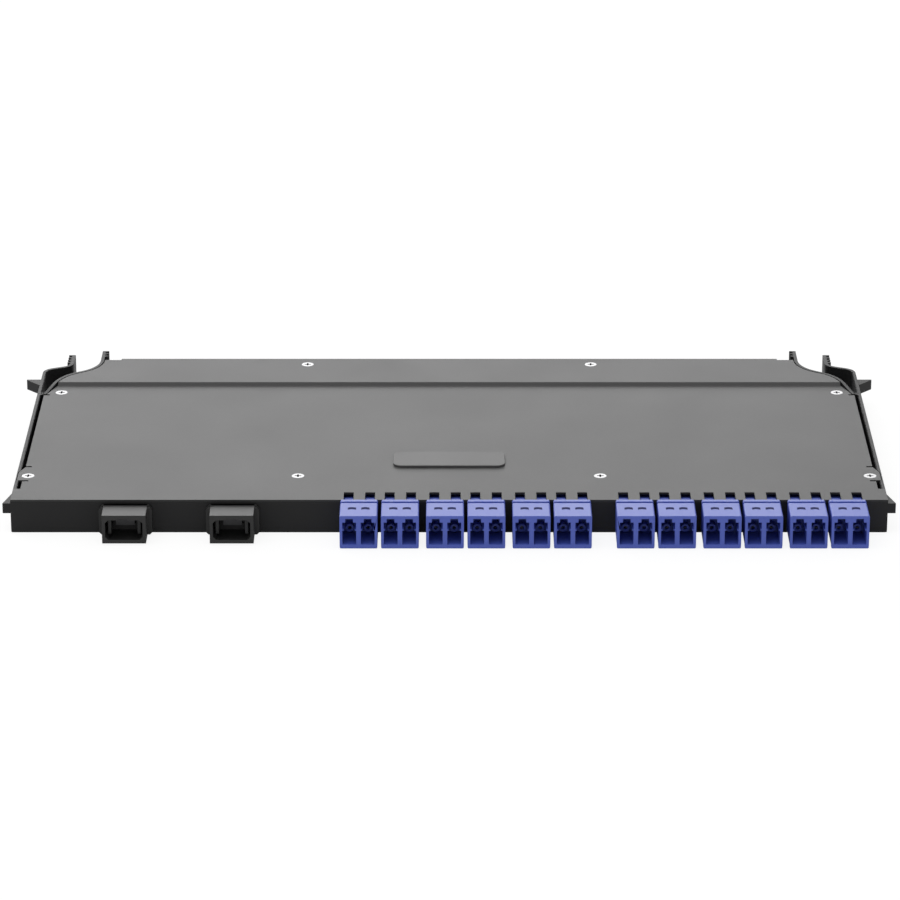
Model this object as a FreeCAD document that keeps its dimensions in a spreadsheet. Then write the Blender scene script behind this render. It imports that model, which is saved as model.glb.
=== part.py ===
import FreeCAD, Part
import math
import os
import Sketcher
from FreeCAD import Placement, Rotation, Vector

# Fibre cassette: a flat moulded tray with a sheet cover, twelve duplex LC adapters and two MPO
# adapters along its front panel, and a squeeze latch at each rear corner.
# While it is modelled, X is across, Y is the depth behind the front panel's face, and Z is up from
# the tray's underside. Every finished piece is then moved back by middle_depth.

SIZES = {
    # Case
    "case_half_width": 149.5,
    "case_depth": 141.2,
    "case_height": 11.9,
    "floor_thick": 0.8,
    "front_wall": 1.5,
    "side_wall": 1.3,
    "rear_wall": 1.3,
    "bottom_edge_radius": 1.4,
    "lug_reach": 2.7,
    "lug_root_depth": 10.2,
    "lug_flat": 0.4,
    "lug_drop": 1.3,
    "lug_tall": 3.6,
    # Cover
    "cover_thick": 0.8,
    "cover_setback": 0.1,
    "cover_rise": 1.1,
    "joggle_ahead": 25.6,
    "joggle_run": 0.6,
    "cover_side_gap": 1.2,
    "cover_wall_gap": 0.4,
    "cover_overhang": 0.3,
    "overhang_inset": 28.2,
    "front_strip_depth": 10.6,
    "tab_front": 18.8,
    "tab_rear": 31.4,
    "tab_reach": 1.9,
    "tab_slope": 5.0,
    "slit_wide": 1.0,
    "slit_long": 2.1,
    "slit_ahead": 1.2,
    "notch_wide": 3.35,
    "notch_deep": 7.2,
    "notch_spacing": 7.3,
    "badge_wide": 38.9,
    "badge_front": 30.9,
    "badge_deep": 13.6,
    "badge_thick": 0.8,
    "badge_corner": 3.0,
    # Cover screws
    "screw_head_radius": 2.22,
    "screw_shank_radius": 1.2,
    "screw_long": 6.0,
    "screw_clearance": 0.05,
    "cross_long": 2.4,
    "cross_wide": 0.6,
    "cross_deep": 0.5,
    "boss_radius": 2.6,
    "corner_screw_inset": 4.1,
    "inner_screw_x": 52.2,
    "front_screw_y": 23.1,
    "side_screw_inset": 8.7,
    "side_screw_ahead": 33.4,
    "rear_screw_ahead": 5.9,
    # Curved rear walls and fixed prongs: insets are from the case's side, and lengths ahead are from
    # its rear, apart from the web's and the curve's start, which are from the arm's root
    "curve_wall": 1.2,
    "curve_start_inset": 2.6,
    "curve_start_ahead": 0.5,
    "curve_knee_inset": 8.4,
    "curve_knee_ahead": 18.0,
    "curve_heel_inset": 21.2,
    "curve_heel_ahead": 9.4,
    "curve_knee_radius": 16.0,
    "curve_heel_radius": 14.0,
    "prong_long": 9.0,
    "web_ahead": 1.0,
    "web_behind": 1.2,
    "web_gap": 0.25,
    "fork_gusset": 0.8,
    "relief_radius": 0.5,
    "relief_wall": 0.15,
    "relief_behind": 0.2,
    "ramp_long": 7.0,
    "thumb_ridge_count": 3,
    # Latch arms
    "hinge_ahead": 34.2,
    "hinge_clearance": 0.04,
    "arm_wall": 1.3,
    "arm_lift": 0.3,
    "arm_shoulder_ahead": 8.8,
    "arm_pad_inset": 10.0,
    "arm_pad_ahead": 4.5,
    "arm_radius": 4.6,
    "arm_tail": 7.6,
    "catch_front_ahead": 22.4,
    "catch_rear_ahead": 15.8,
    "catch_reach": 5.5,
    "catch_flat": 0.6,
    "catch_drop": 1.3,
    "catch_tall": 3.7,
    "grip_count": 4,
    "grip_pitch": 2.6,
    "grip_tall": 1.2,
    "grip_long": 1.4,
    "grip_sink": 0.2,
    # Duplex LC adapters
    "lc_wide": 12.8,
    "lc_reach": 15.1,
    "lc_lift": 0.1,
    "lc_chamfer": 0.35,
    "lc_corner": 0.9,
    "lc_first_x": -30.63,
    "lc_pitch": 14.0,
    "lc_pair_pitch": 29.24,
    "lc_group_step": 35.24,
    "flange_deep": 1.9,
    "flange_proud": 0.15,
    "flange_low": 1.9,
    "groove_deep": 1.0,
    "groove_long": 0.9,
    "neck_wide": 11.6,
    "neck_top": 10.9,
    "neck_play": 0.2,
    "inner_wide": 12.4,
    "inner_top": 9.6,
    "inner_port_high": 8.9,
    "inner_reach": 12.5,
    "slot_gap": 0.1,
    "seat_gap": 0.05,
    "port_pitch": 6.25,
    "port_wide": 4.65,
    "plug_low": 1.55,
    "plug_high": 6.6,
    "ledge_high": 7.0,
    "ledge_wide": 0.5,
    "latch_high": 9.5,
    "key_high": 10.8,
    "key_wide": 2.6,
    "web_front": 2.8,
    "web_back": 0.2,
    "snap_wide": 3.1,
    "snap_long": 6.0,
    "snap_drop": 0.6,
    "snap_rear_high": 10.4,
    "snap_sink": 0.2,
    "sleeve_radius": 0.8,
    "sleeve_bore": 0.63,
    "sleeve_long": 6.8,
    "sleeve_clearance": 0.02,
    # Plugs behind the LC adapters
    "plug_gap": 0.125,
    "plug_nose": 2.6,
    "plug_tail": 15.5,
    "lever_wide": 1.8,
    "lever_root": 2.0,
    "lever_sink": 0.2,
    "lever_lift": 1.0,
    "lever_thick": 0.8,
    "yoke_tail": 27.0,
    "yoke_half_wide": 5.6,
    "boot_tail": 38.0,
    "boot_half_wide": 2.4,
    "boot_step": 0.3,
    "boot_end_half": 1.0,
    "boot_wall": 0.3,
    # MPO adapters
    "mpo_first_x": -110.2,
    "mpo_second_x": -73.7,
    "mpo_wide": 14.9,
    "mpo_low": 0.3,
    "mpo_high": 10.0,
    "mpo_reach": 11.0,
    "mpo_flange_wide": 18.1,
    "mpo_flange_thick": 2.8,
    "mpo_flange_chamfer": 0.8,
    "mpo_port_wide": 12.7,
    "mpo_port_tall": 7.1,
    "mpo_port_chamfer": 1.1,
    "mpo_key_wide": 3.9,
    "mpo_key_tall": 0.8,
    "mpo_web": 2.0,
    "mpo_hook_gap": 8.9,
    "mpo_hook_thick": 1.1,
    "mpo_hook_long": 7.0,
    "mpo_inner_reach": 13.0,
    "mpo_plug_gap": 0.2,
    "mpo_nose_gap": 0.5,
    "mpo_plug_tail": 28.0,
    "mpo_boot_half_wide": 3.69,
    "mpo_boot_half_tall": 2.68,
    "mpo_boot_tail": 44.0,
    "mpo_boot_wall": 1.0,
    "mpo_boot_rim": 0.6,
    "ferrule_wide": 6.4,
    "ferrule_tall": 2.5,
    "ferrule_long": 8.0,
    "ferrule_proud": 2.0,
    # Fibre management
    "ribbon_thick": 0.4,
    "ribbon_tall": 3.1,
    "bundle_wide": 2.7,
    "bundle_tall": 3.6,
    "leg_wide": 0.9,
    "leg_tall": 1.8,
    "leg_radius": 8.0,
    "leg_lead": 1.0,
    "front_run_y": 54.0,
    "ribbon_turn": 17.0,
    "harness_a_rear_ahead": 12.2,
    "harness_a_block_x": -88.0,
    "harness_a_right_x": 104.0,
    "harness_a_left_x": 54.0,
    "harness_b_rear_ahead": 22.2,
    "harness_b_block_x": -50.0,
    "harness_b_right_x": 8.0,
    "harness_b_left_x": -40.0,
    "block_long": 30.0,
    "block_wide": 8.0,
    "block_top": 7.2,
    "former_wall": 1.2,
    "former_gap": 0.3,
    "former_top": 10.6,
    "former_lip": 1.0,
}

doc = FreeCAD.newDocument("fibre_cassette")
sheet = doc.addObject("Spreadsheet::Sheet", "Sizes")
for row, (alias, number) in enumerate(SIZES.items(), start=1):
    sheet.set(f"A{row}", alias)
    sheet.set(f"B{row}", str(number))
    sheet.setAlias(f"B{row}", alias)
doc.recompute()


class Length:
    """A length that knows its value and the sheet expression that gives it."""

    def __init__(self, value, text):
        self.value = value
        self.text = text

    @staticmethod
    def of(other):
        if isinstance(other, Length):
            return other
        return Length(float(other), f"({float(other)!r})")

    def __add__(self, other):
        other = Length.of(other)
        return Length(self.value + other.value, f"({self.text} + {other.text})")

    def __sub__(self, other):
        other = Length.of(other)
        return Length(self.value - other.value, f"({self.text} - {other.text})")

    def __mul__(self, other):
        other = Length.of(other)
        return Length(self.value * other.value, f"({self.text} * {other.text})")

    def __truediv__(self, other):
        other = Length.of(other)
        return Length(self.value / other.value, f"({self.text} / {other.text})")

    def __radd__(self, other):
        return Length.of(other) + self

    def __rsub__(self, other):
        return Length.of(other) - self

    def __rmul__(self, other):
        return Length.of(other) * self

    def __neg__(self):
        return Length(-self.value, f"(-1 * {self.text})")


class Sizes:
    """Reads a cell of the sheet by its alias."""

    def __getattr__(self, alias):
        return Length(float(sheet.get(alias)), f"Sizes.{alias}")


size = Sizes()
zero = Length.of(0)

# Heights and places that several pieces share
cover_under = size.case_height - size.cover_thick
raised_under = cover_under + size.cover_rise
raised_top = size.case_height + size.cover_rise
side_inner = size.case_half_width - size.side_wall
cover_half_width = side_inner - size.cover_side_gap
tab_half_width = cover_half_width + size.tab_reach
rear_inner = size.case_depth - size.rear_wall
joggle_start = size.case_depth - size.joggle_ahead
hinge_x = size.case_half_width - size.arm_wall / 2
hinge_depth = size.case_depth - size.hinge_ahead
rear_slit_depth = hinge_depth - size.slit_ahead
curve_heel_x = size.case_half_width - size.curve_heel_inset
prong_end = size.case_depth + size.prong_long
arm_pad_x = size.case_half_width - size.arm_pad_inset
arm_end = size.case_depth + size.arm_tail
full_width = (size.case_half_width + size.catch_reach) * 2
middle_depth = (prong_end - size.lc_reach) / 2
lc_inner_low = size.floor_thick + size.seat_gap
lc_axis_height = (size.plug_low + size.plug_high) / 2
mpo_axis_height = (size.mpo_low + size.mpo_high) / 2
bundle_height = lc_axis_height


def lc_centres():
    """X of each LC adapter: pairs at one pitch, in two groups with a wider step between them."""
    centres = []
    for group in range(2):
        for pair in range(3):
            for member in range(2):
                steps = size.lc_pair_pitch * (pair + 2 * group) + size.lc_pitch * member
                centres.append(size.lc_first_x + steps + size.lc_group_step * group)
    return centres


def mpo_centres():
    return [size.mpo_first_x, size.mpo_second_x]


def low_screws():
    """Places of the six screws in the cover's front part."""
    corner_x = size.case_half_width - size.corner_screw_inset
    side_x = size.case_half_width - size.side_screw_inset
    side_y = size.case_depth - size.side_screw_ahead
    places = []
    for side in (-1, 1):
        places.append((corner_x * side, size.front_screw_y))
        places.append((size.inner_screw_x * side, size.front_screw_y))
        places.append((side_x * side, side_y))
    return places


def high_screws():
    """Places of the two screws in the cover's raised rear part."""
    rear_y = size.case_depth - size.rear_screw_ahead
    return [(size.inner_screw_x * side, rear_y) for side in (-1, 1)]


# Building blocks

# Flats on the small rounds that repeat
SMALL_SIDES = 6
POST_SIDES = 12
HEAD_SIDES = 16
# How far a cutting outline runs past the piece that it cuts
PAST = 1.0
# A cut that takes less than this, in cubic millimetres, has missed
LEAST_CUT = 1e-6


def new_body(label):
    body = doc.addObject("PartDesign::Body", label)
    body.Label = label
    return body


def new_sketch(body, role, name, level=zero):
    """An empty sketch on one of the body's origin planes, level away along the plane's normal."""
    sketch = body.newObject("Sketcher::SketchObject", name)
    plane = [item for item in body.Origin.OriginFeatures if item.Role == role][0]
    sketch.AttachmentSupport = (plane, [""])
    sketch.MapMode = "FlatFace"
    sketch.setExpression("AttachmentOffset.Base.z", level.text)
    return sketch


def bind(sketch, kind, geometry, point, length):
    """Ties a point's distance from the sketch's origin to the sheet."""
    index = sketch.addConstraint(Sketcher.Constraint(kind, -1, 1, geometry, point, length.value))
    sketch.setExpression(f"Constraints[{index}]", length.text)


def add_loop(sketch, corners):
    """A closed polygon whose corners are bound to the sheet."""
    first = sketch.GeometryCount
    corners = [(Length.of(x), Length.of(y)) for x, y in corners]
    points = [Vector(x.value, y.value, 0) for x, y in corners]
    count = len(points)
    for index in range(count):
        sketch.addGeometry(Part.LineSegment(points[index], points[(index + 1) % count]), False)
    joins = []
    for index in range(count):
        following = first + (index + 1) % count
        joins.append(Sketcher.Constraint("Coincident", first + index, 2, following, 1))
    sketch.addConstraint(joins)
    for index, (x, y) in enumerate(corners):
        bind(sketch, "DistanceX", first + index, 1, x)
        bind(sketch, "DistanceY", first + index, 1, y)


def add_circle(sketch, x, y, radius):
    circle = Part.Circle(Vector(x.value, y.value, 0), Vector(0, 0, 1), radius.value)
    number = sketch.addGeometry(circle, False)
    bind(sketch, "DistanceX", number, 3, x)
    bind(sketch, "DistanceY", number, 3, y)
    index = sketch.addConstraint(Sketcher.Constraint("Radius", number, radius.value))
    sketch.setExpression(f"Constraints[{index}]", radius.text)


def ring_corners(x, y, radius, sides):
    """Corners of a regular polygon whose flats touch a circle, for small rounds that repeat."""
    corner_radius = radius / math.cos(math.pi / sides)
    corners = []
    for number in range(sides):
        angle = math.tau * (number + 0.5) / sides
        corners.append((x + corner_radius * math.cos(angle), y + corner_radius * math.sin(angle)))
    return corners


def box_corners(x_low, x_high, y_low, y_high):
    return [(x_low, y_low), (x_high, y_low), (x_high, y_high), (x_low, y_high)]


def mirrored(corners):
    """The same corners on the other side, in the order that keeps the loop's turn."""
    return [(-Length.of(x), y) for x, y in reversed(corners)]


def extrude(body, kind, sketch, name, length=None, reverse=False, both_ways=False):
    """A Pad or Pocket; with no length it goes through all."""
    feature = body.newObject(f"PartDesign::{kind}", name)
    feature.Profile = sketch
    feature.Reversed = reverse
    if both_ways:
        feature.SideType = "Symmetric"
    if length is None:
        feature.Type = "ThroughAll"
    else:
        feature.Type = "Length"
        feature.setExpression("Length", length.text)
    doc.recompute()
    return feature


def pad(body, sketch, name, length, reverse=False, both_ways=False):
    return extrude(body, "Pad", sketch, name, length, reverse, both_ways)


def pocket(body, sketch, name, length=None, reverse=False, both_ways=False):
    before = body.Shape.Volume
    feature = extrude(body, "Pocket", sketch, name, length, reverse, both_ways)
    if body.Shape.Volume >= before - LEAST_CUT:
        raise RuntimeError(f"{name} cuts nothing")
    return feature


def loft(body, kind, start, end, name):
    """Adds or cuts the straight-sided form between two sketches."""
    feature = body.newObject(f"PartDesign::{kind}Loft", name)
    feature.Profile = start
    feature.Sections = [end]
    feature.Ruled = True
    body.Tip = feature
    doc.recompute()
    return feature


def edges_where(shape, test):
    """Names of the straight edges whose two ends both pass the test."""
    names = []
    for number, edge in enumerate(shape.Edges, start=1):
        ends = [vertex.Point for vertex in edge.Vertexes]
        if len(ends) == 2 and all(test(end) for end in ends):
            names.append(f"Edge{number}")
    return names


def dress(body, kind, names, reach, name):
    """A Fillet or Chamfer on the named edges."""
    base = body.Tip
    feature = body.newObject(f"PartDesign::{kind}", name)
    feature.Base = (base, names)
    feature.setExpression("Radius" if kind == "Fillet" else "Size", reach.text)
    body.Tip = feature
    doc.recompute()
    return feature


# Rounded routes

# Ends closer than this count as the same point
JOINED = 1e-6


def rounded_route(points, radii):
    """Lines and tangent arcs through the points; radii[i] rounds points[i + 1]."""
    pieces = []
    start = points[0]
    for corner, following, radius in zip(points[1:-1], points[2:], radii):
        came = (corner - start).normalize()
        goes = (following - corner).normalize()
        turn = came.getAngle(goes)
        trim = radius * math.tan(turn / 2)
        arc_start = corner - came * trim
        arc_end = corner + goes * trim
        bisector = (goes - came).normalize()
        middle = corner + bisector * (radius / math.cos(turn / 2) - radius)
        if (arc_start - start).Length > JOINED:
            pieces.append(Part.LineSegment(start, arc_start))
        pieces.append(Part.Arc(arc_start, middle, arc_end))
        start = arc_end
    if (points[-1] - start).Length > JOINED:
        pieces.append(Part.LineSegment(start, points[-1]))
    return pieces


def offset_corners(points, distance):
    """The corners of a route's parallel, distance to the right of its direction."""
    moved = []
    for index, point in enumerate(points):
        before = points[max(index - 1, 0)]
        after = points[min(index + 1, len(points) - 1)]
        came = (point - before).normalize() if index > 0 else (after - point).normalize()
        goes = (after - point).normalize() if index < len(points) - 1 else came
        right_of_came = Vector(came.y, -came.x, 0)
        right_of_goes = Vector(goes.y, -goes.x, 0)
        miter = right_of_came + right_of_goes
        moved.append(point + miter * (distance * 2 / (miter.Length ** 2)))
    return moved


def offset_radii(points, radii, distance):
    """Radii of the parallel's arcs: larger where the route turns away from it."""
    changed = []
    for index, radius in enumerate(radii):
        came = points[index + 1] - points[index]
        goes = points[index + 2] - points[index + 1]
        turns_left = came.cross(goes).z > 0
        changed.append(radius + distance if turns_left else radius - distance)
    return changed


def curve_route(end_y):
    """Middle line of the right-hand curved wall, from the fork to end_y."""
    side = size.case_half_width
    rear = size.case_depth
    start = Vector((side - size.curve_start_inset).value, (hinge_depth - size.curve_start_ahead).value, 0)
    knee = Vector((side - size.curve_knee_inset).value, (rear - size.curve_knee_ahead).value, 0)
    heel = Vector(curve_heel_x.value, (rear - size.curve_heel_ahead).value, 0)
    end = Vector(curve_heel_x.value, end_y, 0)
    return [start, knee, heel, end]


def curve_parallel(distance, start_y, end_y):
    """Edges parallel to the curved wall's middle line, starting where they reach start_y."""
    route = curve_route(end_y)
    radii = [size.curve_knee_radius.value, size.curve_heel_radius.value]
    corners = offset_corners(route, distance)
    slope = (corners[1] - corners[0]) * (1 / (corners[1].y - corners[0].y))
    corners[0] = corners[0] + slope * (start_y - corners[0].y)
    return rounded_route(corners, offset_radii(route, radii, distance))


def mirror_edge(edge):
    """The same line or arc on the other side, with its direction turned round."""
    def flip(point):
        return Vector(-point.x, point.y, point.z)

    if isinstance(edge, Part.LineSegment):
        return Part.LineSegment(flip(edge.EndPoint), flip(edge.StartPoint))
    shape = edge.toShape()
    middle = shape.valueAt((shape.FirstParameter + shape.LastParameter) / 2)
    return Part.Arc(flip(shape.Vertexes[-1].Point), flip(middle), flip(shape.Vertexes[0].Point))


def end_points(edge):
    if isinstance(edge, Part.LineSegment):
        return edge.StartPoint, edge.EndPoint
    ends = edge.toShape().Vertexes
    return ends[0].Point, ends[-1].Point


def chain(pieces):
    """Joins runs of edges and loose corner points into one closed list of edges."""
    edges = []
    here = None
    first = None
    for piece in pieces:
        run = piece if isinstance(piece, list) else [piece]
        for item in run:
            is_point = isinstance(item, Vector)
            start = item if is_point else end_points(item)[0]
            if here is not None and (start - here).Length > JOINED:
                edges.append(Part.LineSegment(here, start))
            if first is None:
                first = start
            if not is_point:
                edges.append(item)
            here = start if is_point else end_points(item)[1]
    edges.append(Part.LineSegment(here, first))
    return edges


def both_sides(right):
    """A closed outline from its right-hand half, which starts at the front and ends at the rear."""
    left = []
    for piece in reversed(right):
        if isinstance(piece, Vector):
            left.append(Vector(-piece.x, piece.y, 0))
        else:
            left.append([mirror_edge(edge) for edge in reversed(piece)])
    return chain(right + left)


def free_sketch(body, name, outline, level=zero):
    """A sketch of worked-out lines and arcs on the ground plane."""
    sketch = new_sketch(body, "XY_Plane", name, level)
    for edge in outline:
        geometry = edge
        if not isinstance(edge, Part.LineSegment):
            arc = edge.toShape()
            geometry = Part.ArcOfCircle(arc.Curve, arc.FirstParameter, arc.LastParameter)
        sketch.addGeometry(geometry, False)
    return sketch


# Base tray


def tray_outline():
    """Outer edge of the tray, with the fork's web and the fixed prongs."""
    wall_end = hinge_depth.value
    web_x = hinge_x.value - size.arm_wall.value / 2 - size.web_gap.value
    gap_front = (hinge_depth - size.curve_start_ahead).value
    web_rear = (hinge_depth + size.web_behind).value
    half = size.curve_wall.value / 2
    tip = prong_end.value
    right = [
        Vector(size.case_half_width.value, 0, 0),
        Vector(size.case_half_width.value, wall_end, 0),
        Vector(side_inner.value, wall_end, 0),
        Vector(side_inner.value, gap_front, 0),
        Vector(web_x, gap_front, 0),
        Vector(web_x, web_rear, 0),
        curve_parallel(half, web_rear, tip),
        Vector(curve_heel_x.value - half, tip, 0),
        Vector(curve_heel_x.value - half, size.case_depth.value, 0),
    ]
    return both_sides(right)


def hollow_outline():
    """Inner edge of the tray's walls."""
    half = size.curve_wall.value / 2
    web_front = (hinge_depth - size.web_ahead).value
    gusset = size.fork_gusset.value
    right = [
        Vector(side_inner.value, size.front_wall.value, 0),
        Vector(side_inner.value, web_front - gusset, 0),
        Vector(side_inner.value - gusset, web_front, 0),
        curve_parallel(-half, web_front, rear_inner.value),
    ]
    return both_sides(right)


def tray_walls(body):
    outer = free_sketch(body, "tray_outline", tray_outline())
    pad(body, outer, "tray_block", raised_top)
    hollow = free_sketch(body, "hollow_outline", hollow_outline(), size.floor_thick)
    pocket(body, hollow, "hollow", reverse=True)
    side = size.case_half_width.value
    rounded = edges_where(body.Shape, lambda p: abs(p.z) < JOINED and abs(abs(p.x) - side) < JOINED)
    dress(body, "Fillet", rounded, size.bottom_edge_radius, "bottom_rounding")


def tray_tops(body):
    """Trims the walls to the cover: under its front strip, beside it, and up to the raised rear."""
    side = new_sketch(body, "YZ_Plane", "wall_top_steps")
    before = Length.of(-PAST)
    above = raised_top + PAST
    beyond = prong_end + PAST
    ramp_start = joggle_start - size.ramp_long
    add_loop(side, [
        (before, cover_under), (size.front_strip_depth, cover_under),
        (size.front_strip_depth, size.case_height), (ramp_start, size.case_height),
        (joggle_start, raised_top), (beyond, raised_top), (beyond, above), (before, above),
    ])
    pocket(body, side, "wall_tops", full_width, both_ways=True)
    ledge = new_sketch(body, "XY_Plane", "cover_ledges", cover_under)
    tab_edge = tab_half_width + size.cover_wall_gap / 2
    recess = [
        (cover_half_width, size.tab_front), (tab_edge, size.tab_front),
        (tab_edge, size.tab_rear - size.tab_slope), (tab_edge - size.tab_reach, size.tab_rear),
        (cover_half_width, size.tab_rear),
    ]
    add_loop(ledge, recess)
    add_loop(ledge, mirrored(recess))
    pocket(body, ledge, "tab_seats", reverse=True)
    rear = new_sketch(body, "XY_Plane", "rear_ledge", raised_under)
    reach = curve_heel_x - size.curve_wall / 2
    add_loop(rear, box_corners(-reach, reach, rear_inner - PAST, size.case_depth + PAST))
    pocket(body, rear, "rear_wall_top", reverse=True)


def adapter_slots(body):
    """Slots open at the top of the front panel, into which the adapters drop."""
    front = new_sketch(body, "XZ_Plane", "panel_slots", -size.front_wall - PAST)
    half = size.neck_wide / 2 + size.slot_gap
    for x in lc_centres():
        add_loop(front, box_corners(x - half, x + half, size.floor_thick, size.case_height))
    mpo_half = size.mpo_wide / 2 + size.slot_gap
    mpo_top = size.mpo_high + size.slot_gap
    for x in mpo_centres():
        add_loop(front, box_corners(x - mpo_half, x + mpo_half, size.floor_thick, mpo_top))
    pocket(body, front, "adapter_slots", size.front_wall + PAST * 2, reverse=True)


def tray_bosses(body):
    """Screw bosses from the floor to the cover, and their blind bores."""
    for name, places, top in (("low", low_screws(), cover_under), ("high", high_screws(), raised_under)):
        base = new_sketch(body, "XY_Plane", f"{name}_bosses", size.floor_thick)
        for x, y in places:
            add_loop(base, ring_corners(x, y, size.boss_radius, POST_SIDES))
        pad(body, base, f"{name}_boss_posts", top - size.floor_thick)
        bores = new_sketch(body, "XY_Plane", f"{name}_bores", top)
        for x, y in places:
            add_loop(bores, ring_corners(x, y, size.screw_shank_radius + size.screw_clearance, SMALL_SIDES))
        pocket(body, bores, f"{name}_boss_bores", size.screw_long)


def front_lugs(body):
    """Wedges on the side walls beside the panel, which ride in the shelf's guides."""
    top = size.case_height - size.lug_drop
    sketch = new_sketch(body, "XY_Plane", "front_lugs", top - size.lug_tall)
    side = size.case_half_width
    tip = side + size.lug_reach
    inside = side - size.side_wall / 2
    wedge = [
        (inside, zero), (tip, zero), (tip, size.lug_flat), (side, size.lug_root_depth),
        (inside, size.lug_root_depth),
    ]
    add_loop(sketch, wedge)
    add_loop(sketch, mirrored(wedge))
    pad(body, sketch, "guide_lugs", size.lug_tall)


def fork_details(body):
    """Relief holes beside the arms' roots, round seats for the roots, and thumb ridges."""
    holes = new_sketch(body, "XY_Plane", "fork_holes")
    web_x = hinge_x - size.arm_wall / 2 - size.web_gap
    hole_x = web_x - size.relief_radius - size.relief_wall
    seat_radius = size.arm_wall / 2 + size.hinge_clearance
    for sign in (-1, 1):
        add_circle(holes, hole_x * sign, hinge_depth + size.relief_behind, size.relief_radius)
        add_circle(holes, hinge_x * sign, hinge_depth, seat_radius)
    pocket(body, holes, "root_seats", reverse=True)
    ridges = new_sketch(body, "XY_Plane", "thumb_ridges", size.arm_lift)
    inner_face = curve_heel_x - size.curve_wall / 2
    for number in range(int(size.thumb_ridge_count.value)):
        rear = prong_end - size.grip_pitch * number
        bump = ridge_corners(inner_face, -size.grip_tall, rear)
        add_loop(ridges, bump)
        add_loop(ridges, mirrored(bump))
    pad(body, ridges, "thumb_grips", raised_top - size.arm_lift)


def ridge_corners(face_x, reach, rear_y):
    """A wedge-shaped grip ridge whose steep side faces the rear."""
    sink = size.grip_sink if reach.value < 0 else -size.grip_sink
    return [
        (face_x + sink, rear_y), (face_x + reach, rear_y),
        (face_x + reach, rear_y - size.grip_long / 2), (face_x + sink, rear_y - size.grip_long),
    ]


def base_tray():
    body = new_body("base_tray")
    tray_walls(body)
    tray_tops(body)
    adapter_slots(body)
    tray_bosses(body)
    front_lugs(body)
    fork_details(body)
    return body


# Cover


def cover_outline():
    """Edge of the cover, with its wide front strip and the tabs beside the front corner screws."""
    wide = size.case_half_width.value
    narrow = cover_half_width.value
    tab = tab_half_width.value
    gap = size.curve_wall.value / 2 + size.cover_wall_gap.value
    corner_y = (rear_inner + size.cover_overhang).value
    over_x = (size.case_half_width - size.overhang_inset).value
    over_y = (size.case_depth + size.cover_overhang).value
    right = [
        Vector(wide, size.cover_setback.value, 0),
        Vector(wide, size.front_strip_depth.value, 0),
        Vector(narrow, size.front_strip_depth.value, 0),
        Vector(narrow, size.tab_front.value, 0),
        Vector(tab, size.tab_front.value, 0),
        Vector(tab, size.tab_rear.value - size.tab_slope.value, 0),
        Vector(narrow, size.tab_rear.value, 0),
        Vector(narrow, rear_slit_depth.value - size.slit_wide.value, 0),
        curve_parallel(-gap, rear_slit_depth.value, corner_y),
        Vector(over_x, corner_y, 0),
        Vector(over_x, over_y, 0),
    ]
    return both_sides(right)


def cover_sheet(body):
    """The sheet's section, with its joggle, across the full width."""
    section = new_sketch(body, "YZ_Plane", "sheet_section")
    rear = size.case_depth + size.cover_overhang
    joggle_end = joggle_start + size.joggle_run
    fold = size.cover_thick / 2
    add_loop(section, [
        (size.cover_setback, cover_under), (joggle_start, cover_under),
        (joggle_end, raised_under), (rear, raised_under), (rear, raised_top),
        (joggle_end - fold, raised_top), (joggle_start - fold, size.case_height),
        (size.cover_setback, size.case_height),
    ])
    pad(body, section, "sheet", size.case_half_width * 2, both_ways=True)


def cover_cuts(body):
    trim = free_sketch(body, "cover_outline", cover_outline())
    before = Length.of(-PAST)
    beyond_x = size.case_half_width + PAST
    beyond_y = size.case_depth + size.cover_overhang + PAST
    add_loop(trim, box_corners(-beyond_x, beyond_x, before, beyond_y))
    pocket(body, trim, "edge_trim", reverse=True)
    notches = new_sketch(body, "XY_Plane", "front_notches")
    half = size.notch_wide / 2
    for centre in lc_centres():
        for side in (-1, 1):
            middle = centre + size.notch_spacing / 2 * side
            add_loop(notches, box_corners(middle - half, middle + half, before, size.notch_deep))
    pocket(body, notches, "snap_notches", reverse=True)
    slits = new_sketch(body, "XY_Plane", "side_slits")
    inner_end = cover_half_width - size.slit_long
    outer_end = cover_half_width + PAST / 2
    for front in (size.tab_front - size.slit_wide, size.tab_rear, rear_slit_depth - size.slit_wide):
        slit = box_corners(inner_end, outer_end, front, front + size.slit_wide)
        add_loop(slits, slit)
        add_loop(slits, mirrored(slit))
    pocket(body, slits, "side_slits_cut", reverse=True)


def cover_screw_holes(body):
    """Countersunk holes that the screw heads sit flush in."""
    wide = size.screw_head_radius + size.screw_clearance
    for name, places, top in (("low", low_screws(), size.case_height), ("high", high_screws(), raised_top)):
        for number, (x, y) in enumerate(places):
            upper = new_sketch(body, "XY_Plane", f"{name}_upper{number}", top)
            add_loop(upper, ring_corners(x, y, wide, HEAD_SIDES))
            lower = new_sketch(body, "XY_Plane", f"{name}_lower{number}", top - size.cover_thick)
            add_loop(lower, ring_corners(x, y, wide - size.cover_thick, HEAD_SIDES))
            loft(body, "Subtractive", upper, lower, f"{name}_countersink{number}")


def top_cover():
    body = new_body("top_cover")
    cover_sheet(body)
    cover_cuts(body)
    cover_screw_holes(body)
    return body


def badge_plate():
    """The raised plate in the middle of the cover, left blank."""
    body = new_body("badge_plate")
    sketch = new_sketch(body, "XY_Plane", "badge_outline", size.case_height)
    half = size.badge_wide / 2
    add_loop(sketch, box_corners(-half, half, size.badge_front, size.badge_front + size.badge_deep))
    pad(body, sketch, "badge", size.badge_thick)
    corners = [
        f"Edge{number}" for number, edge in enumerate(body.Shape.Edges, start=1)
        if abs(edge.Vertexes[0].Point.z - edge.Vertexes[1].Point.z) > size.badge_thick.value / 2
    ]
    dress(body, "Fillet", corners, size.badge_corner, "badge_corners")
    return body


# Screws


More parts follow.
